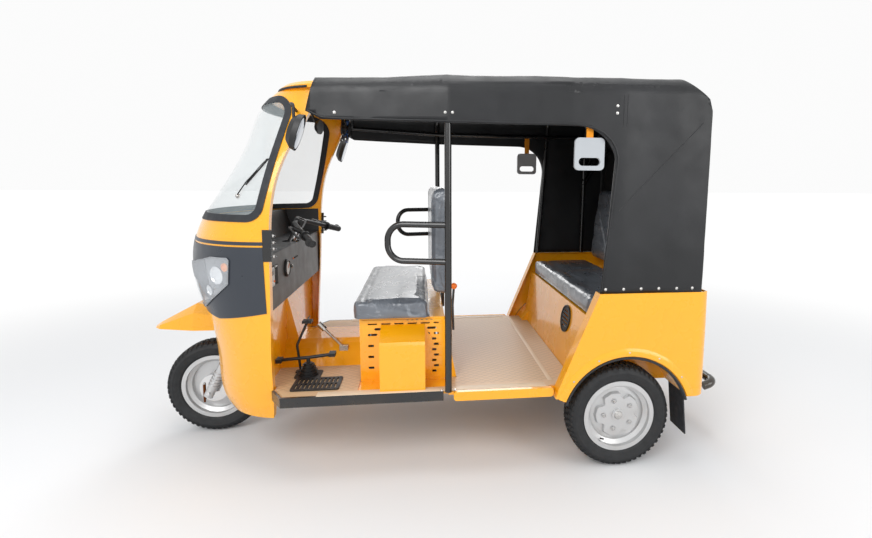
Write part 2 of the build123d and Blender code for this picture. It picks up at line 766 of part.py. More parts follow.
grille_gauge = 3.0
grille_y = seat_half_y + seat_gap + grille_gauge
grille_x = (seat_rear_x + 10, seat_front_x - 10)
grille_z = (412.0, 690.0)
slot_length = 43.0
slot_height = 11.0
slot_pitch = 60.0
row_pitch = 26.0
slot_first_x = 26.0
row_first_z = 674.0
with BuildPart() as seat_grilles:
    with BuildSketch(Plane.XZ.offset(-grille_y)):
        with Locations((sum(grille_x) / 2, sum(grille_z) / 2)):
            Rectangle(grille_x[1] - grille_x[0], grille_z[1] - grille_z[0])
        for row in range(10):
            for column in range(6 - row % 2):
                slot_x = slot_first_x + (column - 0.5 + row % 2 / 2) * slot_pitch
                with Locations((slot_x, row_first_z - row * row_pitch)):
                    SlotOverall(slot_length, slot_height, mode=Mode.SUBTRACT)
    extrude(amount=grille_gauge)
    mirror(about=Plane.XZ)
seat_grilles.part.label = "seat_grilles"
export_step(seat_grilles.part, "parts/seat_grilles.step")

driver_cushion = cushion(28, 382, seat_half_y + 50, seat_top_z + seat_gap, 790, 40, 26)
driver_cushion.part.label = "driver_cushion"
export_step(driver_cushion.part, "parts/driver_cushion.step")

driver_back_z = (800.0, 1297.0)
with BuildPart() as driver_backrest:
    with BuildSketch(Plane.YZ.offset(-48)):
        with Locations((0, sum(driver_back_z) / 2)):
            RectangleRounded(2 * seat_half_y + 60, driver_back_z[1] - driver_back_z[0], 50)
    extrude(amount=72)
    fillet(driver_backrest.faces().sort_by(Axis.X)[-1].edges(), 22)
driver_backrest.part.label = "driver_backrest"
export_step(driver_backrest.part, "parts/driver_backrest.step")

box_y = grille_y + seat_gap
box_outer_y = 590.0
box_x = (59.0, 257.0)
flange_width = 34.0
box_low_z = mat_top_z + contact
box_outline = (
    (box_y, box_low_z),
    (box_outer_y, box_low_z),
    (box_outer_y, 612),
    (box_outer_y - 12, 624),
    (box_y, 668),
)
flange_outline = (
    (box_x[0] - flange_width, box_low_z + 24),
    (box_x[0] - flange_width, 600),
    (box_x[0], 650),
    (box_x[1], 650),
    (box_x[1] + flange_width, 600),
    (box_x[1] + flange_width, box_low_z + 24),
)
with BuildPart() as battery_box:
    add(front_prism(box_outline, *box_x))
    add(side_prism(flange_outline, box_y, box_y + sheet))
battery_box.part.label = "battery_box"
export_step(battery_box.part, "parts/battery_box.step")

backrest_frame_x = -59.3
backrest_y = 300.0
with BuildPart() as backrest_frame:
    frame_line = [
        (backrest_frame_x, backrest_y, 560),
        (backrest_frame_x, backrest_y, 1240),
        (backrest_frame_x, -backrest_y, 1240),
        (backrest_frame_x, -backrest_y, 560),
    ]
    add(tube(frame_line, 11, 60))
    for side in (-1, 1):
        tab_y = side * backrest_y
        add(block(backrest_frame_x, seat_rear_x - contact, tab_y - 10, tab_y + 10, 600, 640))
backrest_frame.part.label = "backrest_frame"
export_step(backrest_frame.part, "parts/backrest_frame.step")

hoop_r = 13.5
hoop_bend_r = 70.0
hoop_reach_x = 229.0 - hoop_r
hoop_y = pillar_y - 70.0
hoop_z = (966.0 + hoop_r, 1152.0 - hoop_r)
with BuildPart() as arm_hoops:
    hoop_start = (pillar_x + 8, pillar_y - 4)
    hoop_line = [
        (*hoop_start, hoop_z[1]),
        (hoop_reach_x, hoop_y, hoop_z[1]),
        (hoop_reach_x, hoop_y, hoop_z[0]),
        (*hoop_start, hoop_z[0]),
    ]
    add(tube(hoop_line, hoop_r, hoop_bend_r))
    with BuildSketch(Plane.XY.offset(900)):
        with Locations((pillar_x, pillar_y)):
            Circle(pillar_r + contact)
    extrude(amount=300, mode=Mode.SUBTRACT)
    mirror(about=Plane.XZ)
arm_hoops.part.label = "arm_hoops"
export_step(arm_hoops.part, "parts/arm_hoops.step")

# Hood frame of round tube under the fabric
hood_gauge = 3.0
hoop_top_z = 1748.0
rail_tube_r = 12.0
hood_rail_z = 1620.0
hood_frame_y = body_half_width - 21.0
header_hoop_x = 484.0
header_hoop_y = 470.0
rail_front = (header_hoop_x, header_hoop_y + 38, hood_rail_z + 20)
hood_rail = (
    rail_front,
    (pillar_x, pillar_y - 11, hood_rail_z),
    (-560, hood_frame_y - 6, hood_rail_z),
    (-1040, hood_frame_y - 4, hood_rail_z),
)
hoop_shapes = (
    (-730, -790, body_top_z + 1.2, hoop_top_z + 4),
    (-1040, -1052, body_top_z + contact, hoop_top_z + 6),
    (-1042, -1150, 1330, 1664),
    (-1042, -1188, 1300, 1526),
)


def cross_hoop(foot_x, top_x, half_y, foot_z, top_z, radius, bend):
    """Tube hoop that rises on the left, crosses over and comes down on the right."""
    left_foot = (foot_x, half_y, foot_z)
    right_foot = (foot_x, -half_y, foot_z)
    return tube([left_foot, (top_x, half_y, top_z), (top_x, -half_y, top_z), right_foot], radius, bend)


with BuildPart() as roof_frame:
    pillar_foot_z = floor_z + contact
    add(cross_hoop(pillar_x, pillar_x, pillar_y, pillar_foot_z, hoop_top_z, pillar_r, 70))
    for foot_x, top_x, foot_z, top_z in hoop_shapes:
        add(cross_hoop(foot_x, top_x, hood_frame_y, foot_z, top_z, rail_tube_r, 75))
    for side in (-1, 1):
        add(tube([(x, side * y, z) for x, y, z in hood_rail], rail_tube_r))
    header_top_z = hoop_top_z - 15
    header_line = [
        rail_front,
        (header_hoop_x, header_hoop_y, header_top_z),
        (header_hoop_x, -header_hoop_y, header_top_z),
        (rail_front[0], -rail_front[1], rail_front[2]),
    ]
    add(tube(header_line, rail_tube_r, 30))
    for y in (-300, 300):
        add(block(header_hoop_x, cap_rear_x - seat_gap, y - 30, y + 30, header_z, header_z + 18))
roof_frame.part.label = "roof_frame"
export_step(roof_frame.part, "parts/roof_frame.step")

# Fabric hood. Columns: x, half width, top z, corner radius
hood_table = (
    (560, body_half_width - 123, hoop_top_z + 4, 70),
    (pillar_x, body_half_width - 28, hoop_top_z + 20, 85),
    (-560, body_half_width - 3, hoop_top_z + 24, 90),
    (-1300, body_half_width + 2, hoop_top_z + 28, 90),
)
hood_rear_x = -1208.0
hood_plan_r = 133.0
hood_hem_z = body_top_z + seat_gap
hood_back = (
    (-1222, hood_hem_z),
    (-1187, 1248),
    (hood_rear_x, 1534),
    (-1163, 1679),
    (-1058, hoop_top_z + 25),
    (-1040, hoop_top_z + 52),
)
hood_front = (
    (505, hoop_top_z + 52),
    (505, 1741),
    (541, 1607),
    (600, 1500),
    (600, hood_hem_z),
)
opening_edge = ((700, 1608), (542, 1608), (478, 1574), (311, 1569), (-23, 1562), (-254, 1559))
opening_corner_r = 170.0
opening_foot_x = -706.0


def hood_solid(shrink):
    """Closed hood volume, inset by the fabric's gauge for its hollow."""
    rear_x = hood_rear_x + shrink
    with BuildPart() as volume:
        for x, half_width, top_z, corner_r in hood_table:
            width = half_width - shrink
            top = top_z - shrink
            bend = corner_r - shrink
            with BuildSketch(Plane.YZ.offset(x)):
                with BuildLine():
                    Line((-width, 700), (width, 700))
                    Line((width, 700), (width, top - bend))
                    RadiusArc((width, top - bend), (width - bend, top), -bend)
                    Line((width - bend, top), (bend - width, top))
                    RadiusArc((bend - width, top), (-width, top - bend), -bend)
                    Line((-width, top - bend), (-width, 700))
                make_face()
        loft(ruled=True)
        with BuildSketch(Plane.XY.offset(600)):
            with BuildLine():
                FilletPolyline(
                    (700, cut_y),
                    (rear_x, cut_y),
                    (rear_x, -cut_y),
                    (700, -cut_y),
                    radius=hood_plan_r + cut_y - 700,
                )
                Line((700, cut_y), (700, -cut_y))
            make_face()
        extrude(amount=1300, mode=Mode.INTERSECT)
    return volume.part


with BuildSketch(Plane.XY) as opening_face:
    with BuildLine():
        Polyline(*opening_edge, (-500, 1557))
        FilletPolyline(
            (-500, 1557),
            (-770, 1553),
            (opening_foot_x, hood_hem_z),
            radius=opening_corner_r,
        )
        Polyline((opening_foot_x, hood_hem_z), (opening_foot_x, 690), (700, 690), (700, 1608))
    make_face()
with BuildPart() as hood:
    add(side_prism(hood_back + hood_front, -cut_y, cut_y) & hood_solid(0))
    inner_back = []
    for x, z in hood_back:
        drop = hood_gauge if z > 1300 else 2
        inner_back.append((x + hood_gauge + 0.5, z - drop))
    inner_front = [(720, hoop_top_z + 52), (720, 800)]
    hood_core = side_prism(inner_back + inner_front, -cut_y, cut_y)
    add(hood_core & hood_solid(hood_gauge), mode=Mode.SUBTRACT)
    add(sketch_prism(opening_face, -cut_y, cut_y), mode=Mode.SUBTRACT)
hood.part.label = "hood"
export_step(hood.part, "parts/hood.step")

# Rear bumper, mud flaps, lamps
bumper_r = 21.0
bumper_z = 318.0
bumper_half_y = 400.0
bumper_end_y = 450.0
bumper_end_x = -1345.0
bumper_end_z = 300.0
bumper_x = bumper_r - length_half
with BuildPart() as rear_bumper:
    with BuildSketch(Plane.XZ.offset(-bumper_half_y)):
        with Locations((bumper_x, bumper_z)):
            Circle(bumper_r)
    extrude(amount=2 * bumper_half_y)
    for side in (-1, 1):
        bend_start = (bumper_x, side * bumper_half_y, bumper_z)
        bend_corner = (bumper_x, side * bumper_end_y, bumper_z)
        bend_end = (bumper_end_x, side * bumper_end_y, bumper_end_z)
        add(tube([bend_start, bend_corner, bend_end], bumper_r, 40))
        arm_start = (rail_rear_x - seat_gap, side * rail_y, 350)
        arm_bend = (-1290, side * rail_y, 350)
        add(tube([arm_start, arm_bend, (bumper_x, side * rail_y, bumper_z)], 16, 60))
rear_bumper.part.label = "rear_bumper"
export_step(rear_bumper.part, "parts/rear_bumper.step")

flap_front_x = -1127.4
flap_gauge = 6.0
flap_line = ((flap_front_x, 400), (flap_front_x, 362), (flap_front_x - 22, 150))
flap_outline = list(flap_line) + [(x - flap_gauge, z) for x, z in reversed(flap_line)]
with BuildPart() as mud_flaps:
    add(side_prism(flap_outline, 500, body_half_width - 20))
    mirror(about=Plane.XZ)
mud_flaps.part.label = "mud_flaps"
export_step(mud_flaps.part, "parts/mud_flaps.step")

with BuildPart() as tail_lamps:
    with BuildSketch(Plane.YZ.offset(body_rear_x - 6)):
        with Locations((body_half_width - 125, 640)):
            RectangleRounded(90, 190, 20)
    extrude(amount=80)
    add(quarter_prism, mode=Mode.SUBTRACT)
    mirror(about=Plane.XZ)
tail_lamps.part.label = "tail_lamps"
export_step(tail_lamps.part, "parts/tail_lamps.step")

# Running gear between the wheels
with BuildPart() as engine:
    add(block(engine_x[0], engine_x[1], -engine_half_y, engine_half_y, 250, 640))
engine.part.label = "engine"
export_step(engine.part, "parts/engine.step")

wheel_centre_y = rear_track / 2
spindle_r = 15.0
rear_drum_reach = 40.0
rear_drum_r = 82.0
spindle_out = 36.0
drum_half = rear_drum_reach + seat_gap
backplate_r = 88.0
backplate_gauge = 8.0
axle_tube_r = 30.0
axle_tube_end = wheel_centre_y - drum_half - 12
with BuildPart() as rear_axle:
    with BuildSketch(Plane.XZ.offset(-axle_tube_end)):
        with Locations((rear_axle_x, axle_z)):
            Circle(axle_tube_r)
    extrude(amount=2 * axle_tube_end)
    with BuildSketch(Plane.XZ.offset(-90)):
        with Locations((rear_axle_x, axle_z)):
            Circle(95)
    extrude(amount=180)
    with BuildSketch(Plane.YZ.offset(rear_axle_x)):
        with Locations((0, axle_z)):
            Circle(24)
    extrude(amount=engine_x[0] - 0.3 - rear_axle_x)
    for side in (-1, 1):
        plate_y = side * (wheel_centre_y - drum_half - backplate_gauge / 2)
        with BuildSketch(Plane.XZ.offset(-plate_y - backplate_gauge / 2)):
            with Locations((rear_axle_x, axle_z)):
                Circle(backplate_r)
        extrude(amount=backplate_gauge)
    with BuildSketch(Plane.XZ.offset(-(wheel_centre_y + spindle_out))):
        with Locations((rear_axle_x, axle_z)):
            Circle(spindle_r)
    extrude(amount=2 * (wheel_centre_y + spindle_out))
rear_axle.part.label = "rear_axle"
export_step(rear_axle.part, "parts/rear_axle.step")

spring_top = axle_z + axle_tube_r + 26.0
spring_low = ((-440, 318), (-640, 288), (rear_axle_x, 277), (-1030, 288), (-1180, 318))
spring_high = ((-1180, 327.8), (-1030, spring_top), (-640, spring_top), (-440, 327.8))
with BuildPart() as leaf_springs:
    for side in (-1, 1):
        spring_y = side * rail_y
        add(side_prism(spring_low + spring_high, spring_y - 25, spring_y + 25))
        seat_box = (rear_axle_x - 40, rear_axle_x + 40, spring_y - 30, spring_y + 30)
        add(block(*seat_box, axle_z + axle_tube_r + contact, 277))
leaf_springs.part.label = "leaf_springs"
export_step(leaf_springs.part, "parts/leaf_springs.step")

with BuildPart() as exhaust:
    add(tube([(165, -engine_half_y - 0.3, 285), (165, -300, 285), (-185, -300, 285)], 16, 50))
    with BuildSketch(Plane.YZ.offset(-560)):
        with Locations((-300, 262)):
            Circle(58)
    extrude(amount=380)
exhaust.part.label = "exhaust"
export_step(exhaust.part, "parts/exhaust.step")

# Hanging grab handles
handle_x = -643.0
handle_y = hood_frame_y - 6.0
handle_w = 130.0
handle_low_z = 1373.0
handle_high_z = 1510.0
with BuildPart() as grab_handles:
    with BuildSketch(Plane.XZ.offset(-(handle_y + 7))):
        with Locations((handle_x, (handle_low_z + handle_high_z) / 2)):
            RectangleRounded(handle_w, handle_high_z - handle_low_z, 20)
        with Locations((handle_x, handle_low_z + 36)):
            SlotOverall(96, 34, mode=Mode.SUBTRACT)
    extrude(amount=14)
    mirror(about=Plane.XZ)
grab_handles.part.label = "grab_handles"
export_step(grab_handles.part, "parts/grab_handles.step")

with BuildPart() as grab_straps:
    strap_top_z = hood_rail_z - rail_tube_r - seat_gap
    strap_low_z = handle_high_z + contact
    strap_x = (handle_x - 15, handle_x + 15)
    add(block(*strap_x, handle_y - 2, handle_y + 2, strap_low_z, strap_top_z))
    mirror(about=Plane.XZ)
grab_straps.part.label = "grab_straps"
export_step(grab_straps.part, "parts/grab_straps.step")

# Mirrors on stalks from the header corners
mirror_x = 547.0
mirror_y = 612.0
mirror_z = 1510.0
mirror_width = 108.0
mirror_height = 150.0
mirror_depth = 42.0
mirror_tilt = math.radians(18.7)
mirror_facing = (-math.cos(mirror_tilt), 0, -math.sin(mirror_tilt))
mirror_plane = Plane(
    origin=(mirror_x, mirror_y, mirror_z), x_dir=(0, 1, 0), z_dir=mirror_facing
)
with BuildPart() as side_mirrors:
    with BuildSketch(mirror_plane):
        Ellipse(mirror_width / 2, mirror_height / 2)
    with BuildSketch(mirror_plane.offset(-mirror_depth / 2)):
        Ellipse(mirror_width / 2 - 4, mirror_height / 2 - 5)
    with BuildSketch(mirror_plane.offset(-mirror_depth)):
        Ellipse(mirror_width / 3.4, mirror_height / 3.2)
    loft(ruled=True)
    with BuildSketch(mirror_plane):
        Ellipse(mirror_width / 2 - 4, mirror_height / 2 - 4)
    extrude(amount=-4, mode=Mode.SUBTRACT)
    arm_line = [(590, 468, 1614), (590, 560, 1630), (568, mirror_y, 1621), (568, mirror_y, 1545)]
    add(tube(arm_line, 6, 20))
    add(skin_outer, mode=Mode.SUBTRACT)
    mirror(about=Plane.XZ)
side_mirrors.part.label = "side_mirrors"
export_step(side_mirrors.part, "parts/side_mirrors.step")

# Driver's controls on the floor: heel-and-toe bar on a gaiter, brake pedal, lever
control_z = mat_top_z + contact
rocker_x = 607.0
rocker_y = 350.0
rocker_z = 490.0
rocker_line = [(745, rocker_y, rocker_z - 8), (rocker_x, rocker_y, rocker_z), (497, rocker_y, rocker_z + 12)]
gaiter_rings = ((46, 10), (40, 24), (34, 38), (28, 52))
pedal_y = 300.0
pedal_line = [(655, pedal_y, control_z + 2), (668, pedal_y, 537), (622, pedal_y - 30, 644)]
with BuildPart() as foot_controls:
    add(tube(rocker_line, 8))
    add(block(728, 762 - 8, rocker_y - 32, rocker_y + 14, rocker_z - 20, rocker_z - 2))
    add(block(482, 512, rocker_y - 32, rocker_y + 14, rocker_z + 3, rocker_z + 19))
    with BuildSketch(Plane.XY.offset(control_z)):
        with Locations((rocker_x, rocker_y)):
            RectangleRounded(120, 96, 14)
    extrude(amount=4)
    for ring_r, rise in gaiter_rings:
        with BuildSketch(Plane.XY.offset(control_z + rise - 8)):
            with Locations((rocker_x, rocker_y)):
                Circle(ring_r)
        extrude(amount=9)
        with BuildSketch(Plane.XY.offset(control_z)):
            with Locations((rocker_x, rocker_y)):
                Circle(ring_r - 8)
        extrude(amount=rise + 7)
    with BuildSketch(Plane.XY.offset(control_z)):
        with Locations((rocker_x, rocker_y)):
            Circle(9)
    extrude(amount=rocker_z - control_z)
    add(tube(pedal_line, 6, 30))
    with BuildSketch(Plane.XY.offset(control_z)):
        with Locations((rocker_x + 40, rocker_y - 45)):
            RectangleRounded(60, 36, 8)
    extrude(amount=4)
    add(block(600, 644, pedal_y - 52, pedal_y - 8, 638, 650))
foot_controls.part.label = "foot_controls"
export_step(foot_controls.part, "parts/foot_controls.step")

lever_x = 471.0
lever_y = 150.0
lever_base_z = 465.0
lever_tip = (lever_x + 123, lever_y, lever_base_z + 133)
lever_grip = (lever_x + 93, lever_y, lever_base_z + 101)
with BuildPart() as hand_lever:
    add(tube([(lever_x, lever_y, lever_base_z), lever_tip], 7))
    add(tube([lever_grip, lever_tip], 15))
    lever_y_span = (lever_y - 14, lever_y + 14)
    add(block(lever_x - 21, lever_x + 21, *lever_y_span, 424, lever_base_z + 14))
    add(tunnel_outer, mode=Mode.SUBTRACT)
hand_lever.part.label = "hand_lever"
export_step(hand_lever.part, "parts/hand_lever.step")

grate_x = (440.0, 650.0)
grate_y = (400.0, 545.0)
grate_slot_pitch = 19.0
with BuildPart() as footwell_grille:
    with BuildSketch(Plane.XY.offset(control_z)):
        with Locations((sum(grate_x) / 2, sum(grate_y) / 2)):
            RectangleRounded(grate_x[1] - grate_x[0], grate_y[1] - grate_y[0], 12)
            with GridLocations(grate_slot_pitch, 62, 10, 2):
                SlotOverall(52, 8, rotation=90, mode=Mode.SUBTRACT)
    extrude(amount=6)
footwell_grille.part.label = "footwell_grille"
export_step(footwell_grille.part, "parts/footwell_grille.step")

# Cab fan that hangs from the front hoop, and the oval mirror under the roof cap
fan_centre = (494.0, -350.0, 1619.0)
fan_r = 64.0
fan_wire_r = 3.5
fan_spokes = 8
with BuildPart() as cabin_fan:
    fan_plane = Plane(origin=fan_centre, x_dir=(0, 1, 0), z_dir=(-1, 0, 0))
    for depth, ring_r in ((-22, fan_r), (0, fan_r), (18, fan_r - 18)):
        with BuildSketch(fan_plane.offset(depth - fan_wire_r)):
            Circle(ring_r)
            Circle(ring_r - 2 * fan_wire_r, mode=Mode.SUBTRACT)
        extrude(amount=2 * fan_wire_r)
    with BuildSketch(fan_plane.offset(-34)):
        Circle(26)
    extrude(amount=46)
    with BuildSketch(fan_plane.offset(-4)):
        for spoke in range(fan_spokes):
            with Locations(Location((0, 0, 0), (0, 0, spoke * 360 / fan_spokes))):
                with Locations((fan_r / 2, 0)):
                    Rectangle(fan_r - 6, 6)
    extrude(amount=7)
    with BuildSketch(fan_plane.offset(-24)):
        for spoke in range(4):
            with Locations(Location((0, 0, 0), (0, 0, spoke * 90))):
                with Locations((fan_r / 2, 0)):
                    Rectangle(fan_r - 6, 8)
    extrude(amount=5)
    with BuildSketch(fan_plane.offset(14)):
        for spoke in range(fan_spokes):
            with Locations(Location((0, 0, 0), (0, 0, spoke * 360 / fan_spokes))):
                with Locations(((fan_r - 20) / 2, 0)):
                    Rectangle(fan_r - 24, 5)
    extrude(amount=5)
    with BuildSketch(fan_plane.offset(10)):
        Circle(12)
    extrude(amount=8)
    for spoke in range(4):
        angle = math.radians(45 + spoke * 90)
        rim_y = fan_centre[1] + (fan_r - fan_wire_r) * math.cos(angle)
        rim_z = fan_centre[2] + (fan_r - fan_wire_r) * math.sin(angle)
        add(tube([(fan_centre[0] - 1, rim_y, rim_z), (fan_centre[0] + 23, rim_y, rim_z)], 3))
    stalk_x = header_hoop_x + 8
    stalk_top_z = header_top_z - rail_tube_r - seat_gap
    add(tube([(stalk_x + 26, fan_centre[1], fan_centre[2]), (stalk_x + 26, fan_centre[1], 1700)], 6))
    stalk_y = (fan_centre[1] - 12, fan_centre[1] + 12)
    add(block(stalk_x - 26, stalk_x + 32, *stalk_y, 1696, header_z - 4))
    add(block(stalk_x - 26, cap_rear_x - 4, *stalk_y, 1696, stalk_top_z))
cabin_fan.part.label = "cabin_fan"
export_step(cabin_fan.part, "parts/cabin_fan.step")

inner_mirror = (587.0, 0.0, 1596.0)
with BuildPart() as cabin_mirror:
    mirror_seat = Plane(origin=inner_mirror, x_dir=(0, 1, 0), z_dir=(-0.985, 0, -0.174))
    with BuildSketch(mirror_seat):
        Ellipse(84, 36)
    extrude(amount=8)
    with BuildSketch(mirror_seat.offset(-10)):
        Ellipse(66, 26)
    extrude(amount=12)
    add(tube([(inner_mirror[0] + 6, 0, inner_mirror[2]), (inner_mirror[0] + 46, 0, 1690)], 6))
    add(block(614, 656, -16, 16, 1684, header_z + contact - seat_gap))
cabin_mirror.part.label = "cabin_mirror"
export_step(cabin_mirror.part, "parts/cabin_mirror.step")

# Steering: fork arch with its stem, sliders, axle, bars, mudguard
arch_along = 575.0
leg_low = 424.0
slider_low = axle_along - 28
fork_plane = Plane(origin=steer_point(axle_lead, 0, 0), x_dir=(0, 1, 0), z_dir=steer_out)
bar_along = 1238.0
with BuildPart() as front_fork:
    with BuildLine(fork_plane) as arch_route:
        FilletPolyline(
            (fork_leg_y, leg_low),
            (fork_leg_y, arch_along),
            (-fork_leg_y, arch_along),
            (-fork_leg_y, leg_low),
            radius=fork_bend_r,
        )
    with BuildSketch(Plane(origin=arch_route.line @ 0, z_dir=arch_route.line % 0)):
        Circle(fork_tube_r)
    sweep(path=arch_route.line)
    with BuildSketch(steer_plane.offset(arch_along - 10)):
        Circle(stem_r)
    extrude(amount=bar_along - arch_along + 22)
front_fork.part.label = "front_fork"
export_step(front_fork.part, "parts/front_fork.step")

slider_r = 23.0
rib_r = 27.0
rib_count = 5
rib_pitch = 17.0
axle_pin_r = 8.0
brake_plate_y = 58.0
with BuildPart() as fork_sliders:
    for side in (-1, 1):
        slider_base = steer_point(axle_lead, side * fork_leg_y, slider_low)
        slider_plane = Plane(origin=slider_base, x_dir=(0, 1, 0), z_dir=steer_up)
        with BuildSketch(slider_plane):
            Circle(slider_r)
        extrude(amount=leg_low - slider_low - contact)
        for rib in range(rib_count):
            with BuildSketch(slider_plane.offset(62 + rib * rib_pitch)):
                Circle(rib_r)
            extrude(amount=8)
    with BuildSketch(Plane.XZ.offset(-200)):
        with Locations((front_axle_x, axle_z)):
            Circle(axle_pin_r + 0.1)
    extrude(amount=400, mode=Mode.SUBTRACT)
fork_sliders.part.label = "fork_sliders"
export_step(fork_sliders.part, "parts/fork_sliders.step")

with BuildPart() as front_axle:
    with BuildSketch(Plane.XZ.offset(-fork_leg_y - slider_r - 14)):
        with Locations((front_axle_x, axle_z)):
            Circle(axle_pin_r)
    extrude(amount=2 * (fork_leg_y + slider_r + 14))
    with BuildSketch(Plane.XZ.offset(-brake_plate_y - 8)):
        with Locations((front_axle_x, axle_z)):
            Circle(72)
    extrude(amount=8)
front_axle.part.label = "front_axle"
export_step(front_axle.part, "parts/front_axle.step")

bar_r = 11.0
bar_route = ((-150, 375), (-72, 240), (11, 90), (11, -90), (-72, -240), (-150, -375))
bar_bend_r = 45.0
grip_r = 17.0
grip_length = 122.0
lever_route = ((-18, 228), (-8, 262), (-86, 392))
with BuildPart() as handlebar:
    with BuildLine(steer_plane.offset(bar_along)) as bar_line:
        FilletPolyline(*bar_route, radius=bar_bend_r)
    bar_end = Plane(origin=bar_line.line @ 0, z_dir=bar_line.line % 0)
    with BuildSketch(bar_end):
        Circle(bar_r)
    sweep(path=bar_line.line)
    with BuildSketch(steer_plane.offset(bar_along - 20)):
        with Locations((4, 0)):
            RectangleRounded(50, 70, 10)
    extrude(amount=40)
    for side in (-1, 1):
        perch = (steer_point(-64, side * 226, bar_along), steer_point(-18, side * 226, bar_along))
        add(tube(list(perch), 12))
        add(tube([steer_point(x, side * y, bar_along) for x, y in lever_route], 6, 15))
    with BuildSketch(steer_plane.offset(bar_along - 30)):
        Circle(stem_r + contact)
    extrude(amount=52.2, mode=Mode.SUBTRACT)
handlebar.part.label = "handlebar"
export_step(handlebar.part, "parts/handlebar.step")

with BuildPart() as hand_grips:
    with BuildSketch(bar_end.offset(-3)):
        Circle(grip_r)
    extrude(amount=grip_length)
    with BuildSketch(bar_end.offset(grip_length - 12)):
        Circle(grip_r + 6)
    extrude(amount=6)
    with BuildSketch(bar_end):
        Circle(bar_r + contact)
    extrude(amount=grip_length + 10, mode=Mode.SUBTRACT)
    mirror(about=Plane.XZ)
hand_grips.part.label = "hand_grips"
export_step(hand_grips.part, "parts/hand_grips.step")

# Mudguard beak. Columns: x, top half width, crease half width, foot half width, top z, crease z
beak_tip_x = length_half
beak_table = (
    (1000, 60, 112, 122, 655, 630),
    (1213, 50, 100, 116, 695, 655),
    (beak_tip_x - 30, 24, 56, 66, 598, 586),
    (beak_tip_x, 14, 30, 36, 579, 573),
)
beak_foot_z = 568.0


def beak_solid(shrink, drop):
    """Lofted beak volume from its cross-section table."""
    with BuildPart() as volume:
        for x, top_half, crease_half, foot_half, top_z, crease_z in beak_table:
            reach = -drop if x == beak_tip_x else 0
            with BuildSketch(Plane.YZ.offset(x + reach)):
                with BuildLine():
                    Polyline(
                        (foot_half - shrink, beak_foot_z - drop),
                        (crease_half - shrink, crease_z - shrink / 2),
                        (top_half - shrink / 2, top_z - shrink),
                        (shrink / 2 - top_half, top_z - shrink),
                        (shrink - crease_half, crease_z - shrink / 2),
                        (shrink - foot_half, beak_foot_z - drop),
                        close=True,
                    )
                make_face()
        loft(ruled=True)
    return volume.part


with BuildPart() as front_mudguard:
    add(beak_solid(0, 0))
    add(beak_solid(sheet, 6) - block(900, 1003, -200, 200, 500, 700), mode=Mode.SUBTRACT)
    add(block(990, 1150, -108, 108, beak_foot_z, beak_foot_z + 6) & beak_solid(0, 0))
    add(block(1000.5, 1024, -30, 30, 535.4, beak_foot_z + 7))
    with BuildSketch(steer_plane.offset(500)):
        Circle(stem_r + 3)
    extrude(amount=300, mode=Mode.SUBTRACT)
front_mudguard.part.label = "front_mudguard"
export_step(front_mudguard.part, "parts/front_mudguard.step")


def wheel_plane(x, y):
    """Plan plane through a wheel centre, for profiles drawn as (radius, y)."""
    return Plane(origin=(x, y, axle_z), x_dir=(1, 0, 0), z_dir=(0, 0, 1))


def tyre_solid(x, y):
    """Tyre carcass with rounded walls, out to the tips of its tread."""
    with BuildPart() as tyre:
        with BuildSketch(wheel_plane(x, y)):
            with BuildLine():
                Line((bead_r, bead_half_width), (bead_r, -bead_half_width))
                Line((bead_r, -bead_half_width), (rim_flange_r + 2, -bead_half_width))
                ThreePointArc((rim_flange_r + 2, -bead_half_width), (206, -tyre_half_width), (234, -50))
                ThreePointArc((234, -50), (tyre_r, 0), (234, 50))
                ThreePointArc((234, 50), (206, tyre_half_width), (rim_flange_r + 2, bead_half_width))
                Line((rim_flange_r + 2, bead_half_width), (bead_r, bead_half_width))
            make_face()
        revolve(axis=Axis((x, y, axle_z), (0, 1, 0)))
    return tyre.part


# Wheel disc: a five-lobed pressed star with sunk wheel nuts and a hub ring
lobe_count = 5
star_tip_r = 110.0
star_notch_r = 81.0
star_corner_r = 12.0
web_y = 14.0
star_y = 30.0
hub_r = 29.0
hub_y = 38.0
lug_circle_r = 70.0


def star_face(tip_r, notch_r):
    """Outline of the star, centred on the wheel."""
    points = []
    for lobe in range(lobe_count):
        for radius, turn in ((tip_r, -22), (tip_r + 3, 0), (tip_r, 22), (notch_r, 36)):
            angle = math.radians(lobe * 360 / lobe_count + turn)
            points.append((radius * math.cos(angle), radius * math.sin(angle)))
    with BuildSketch(Plane.XY) as face:
        with BuildLine():
            Polyline(*points, close=True)
        make_face()
        fillet(face.vertices(), star_corner_r)
    return face.sketch


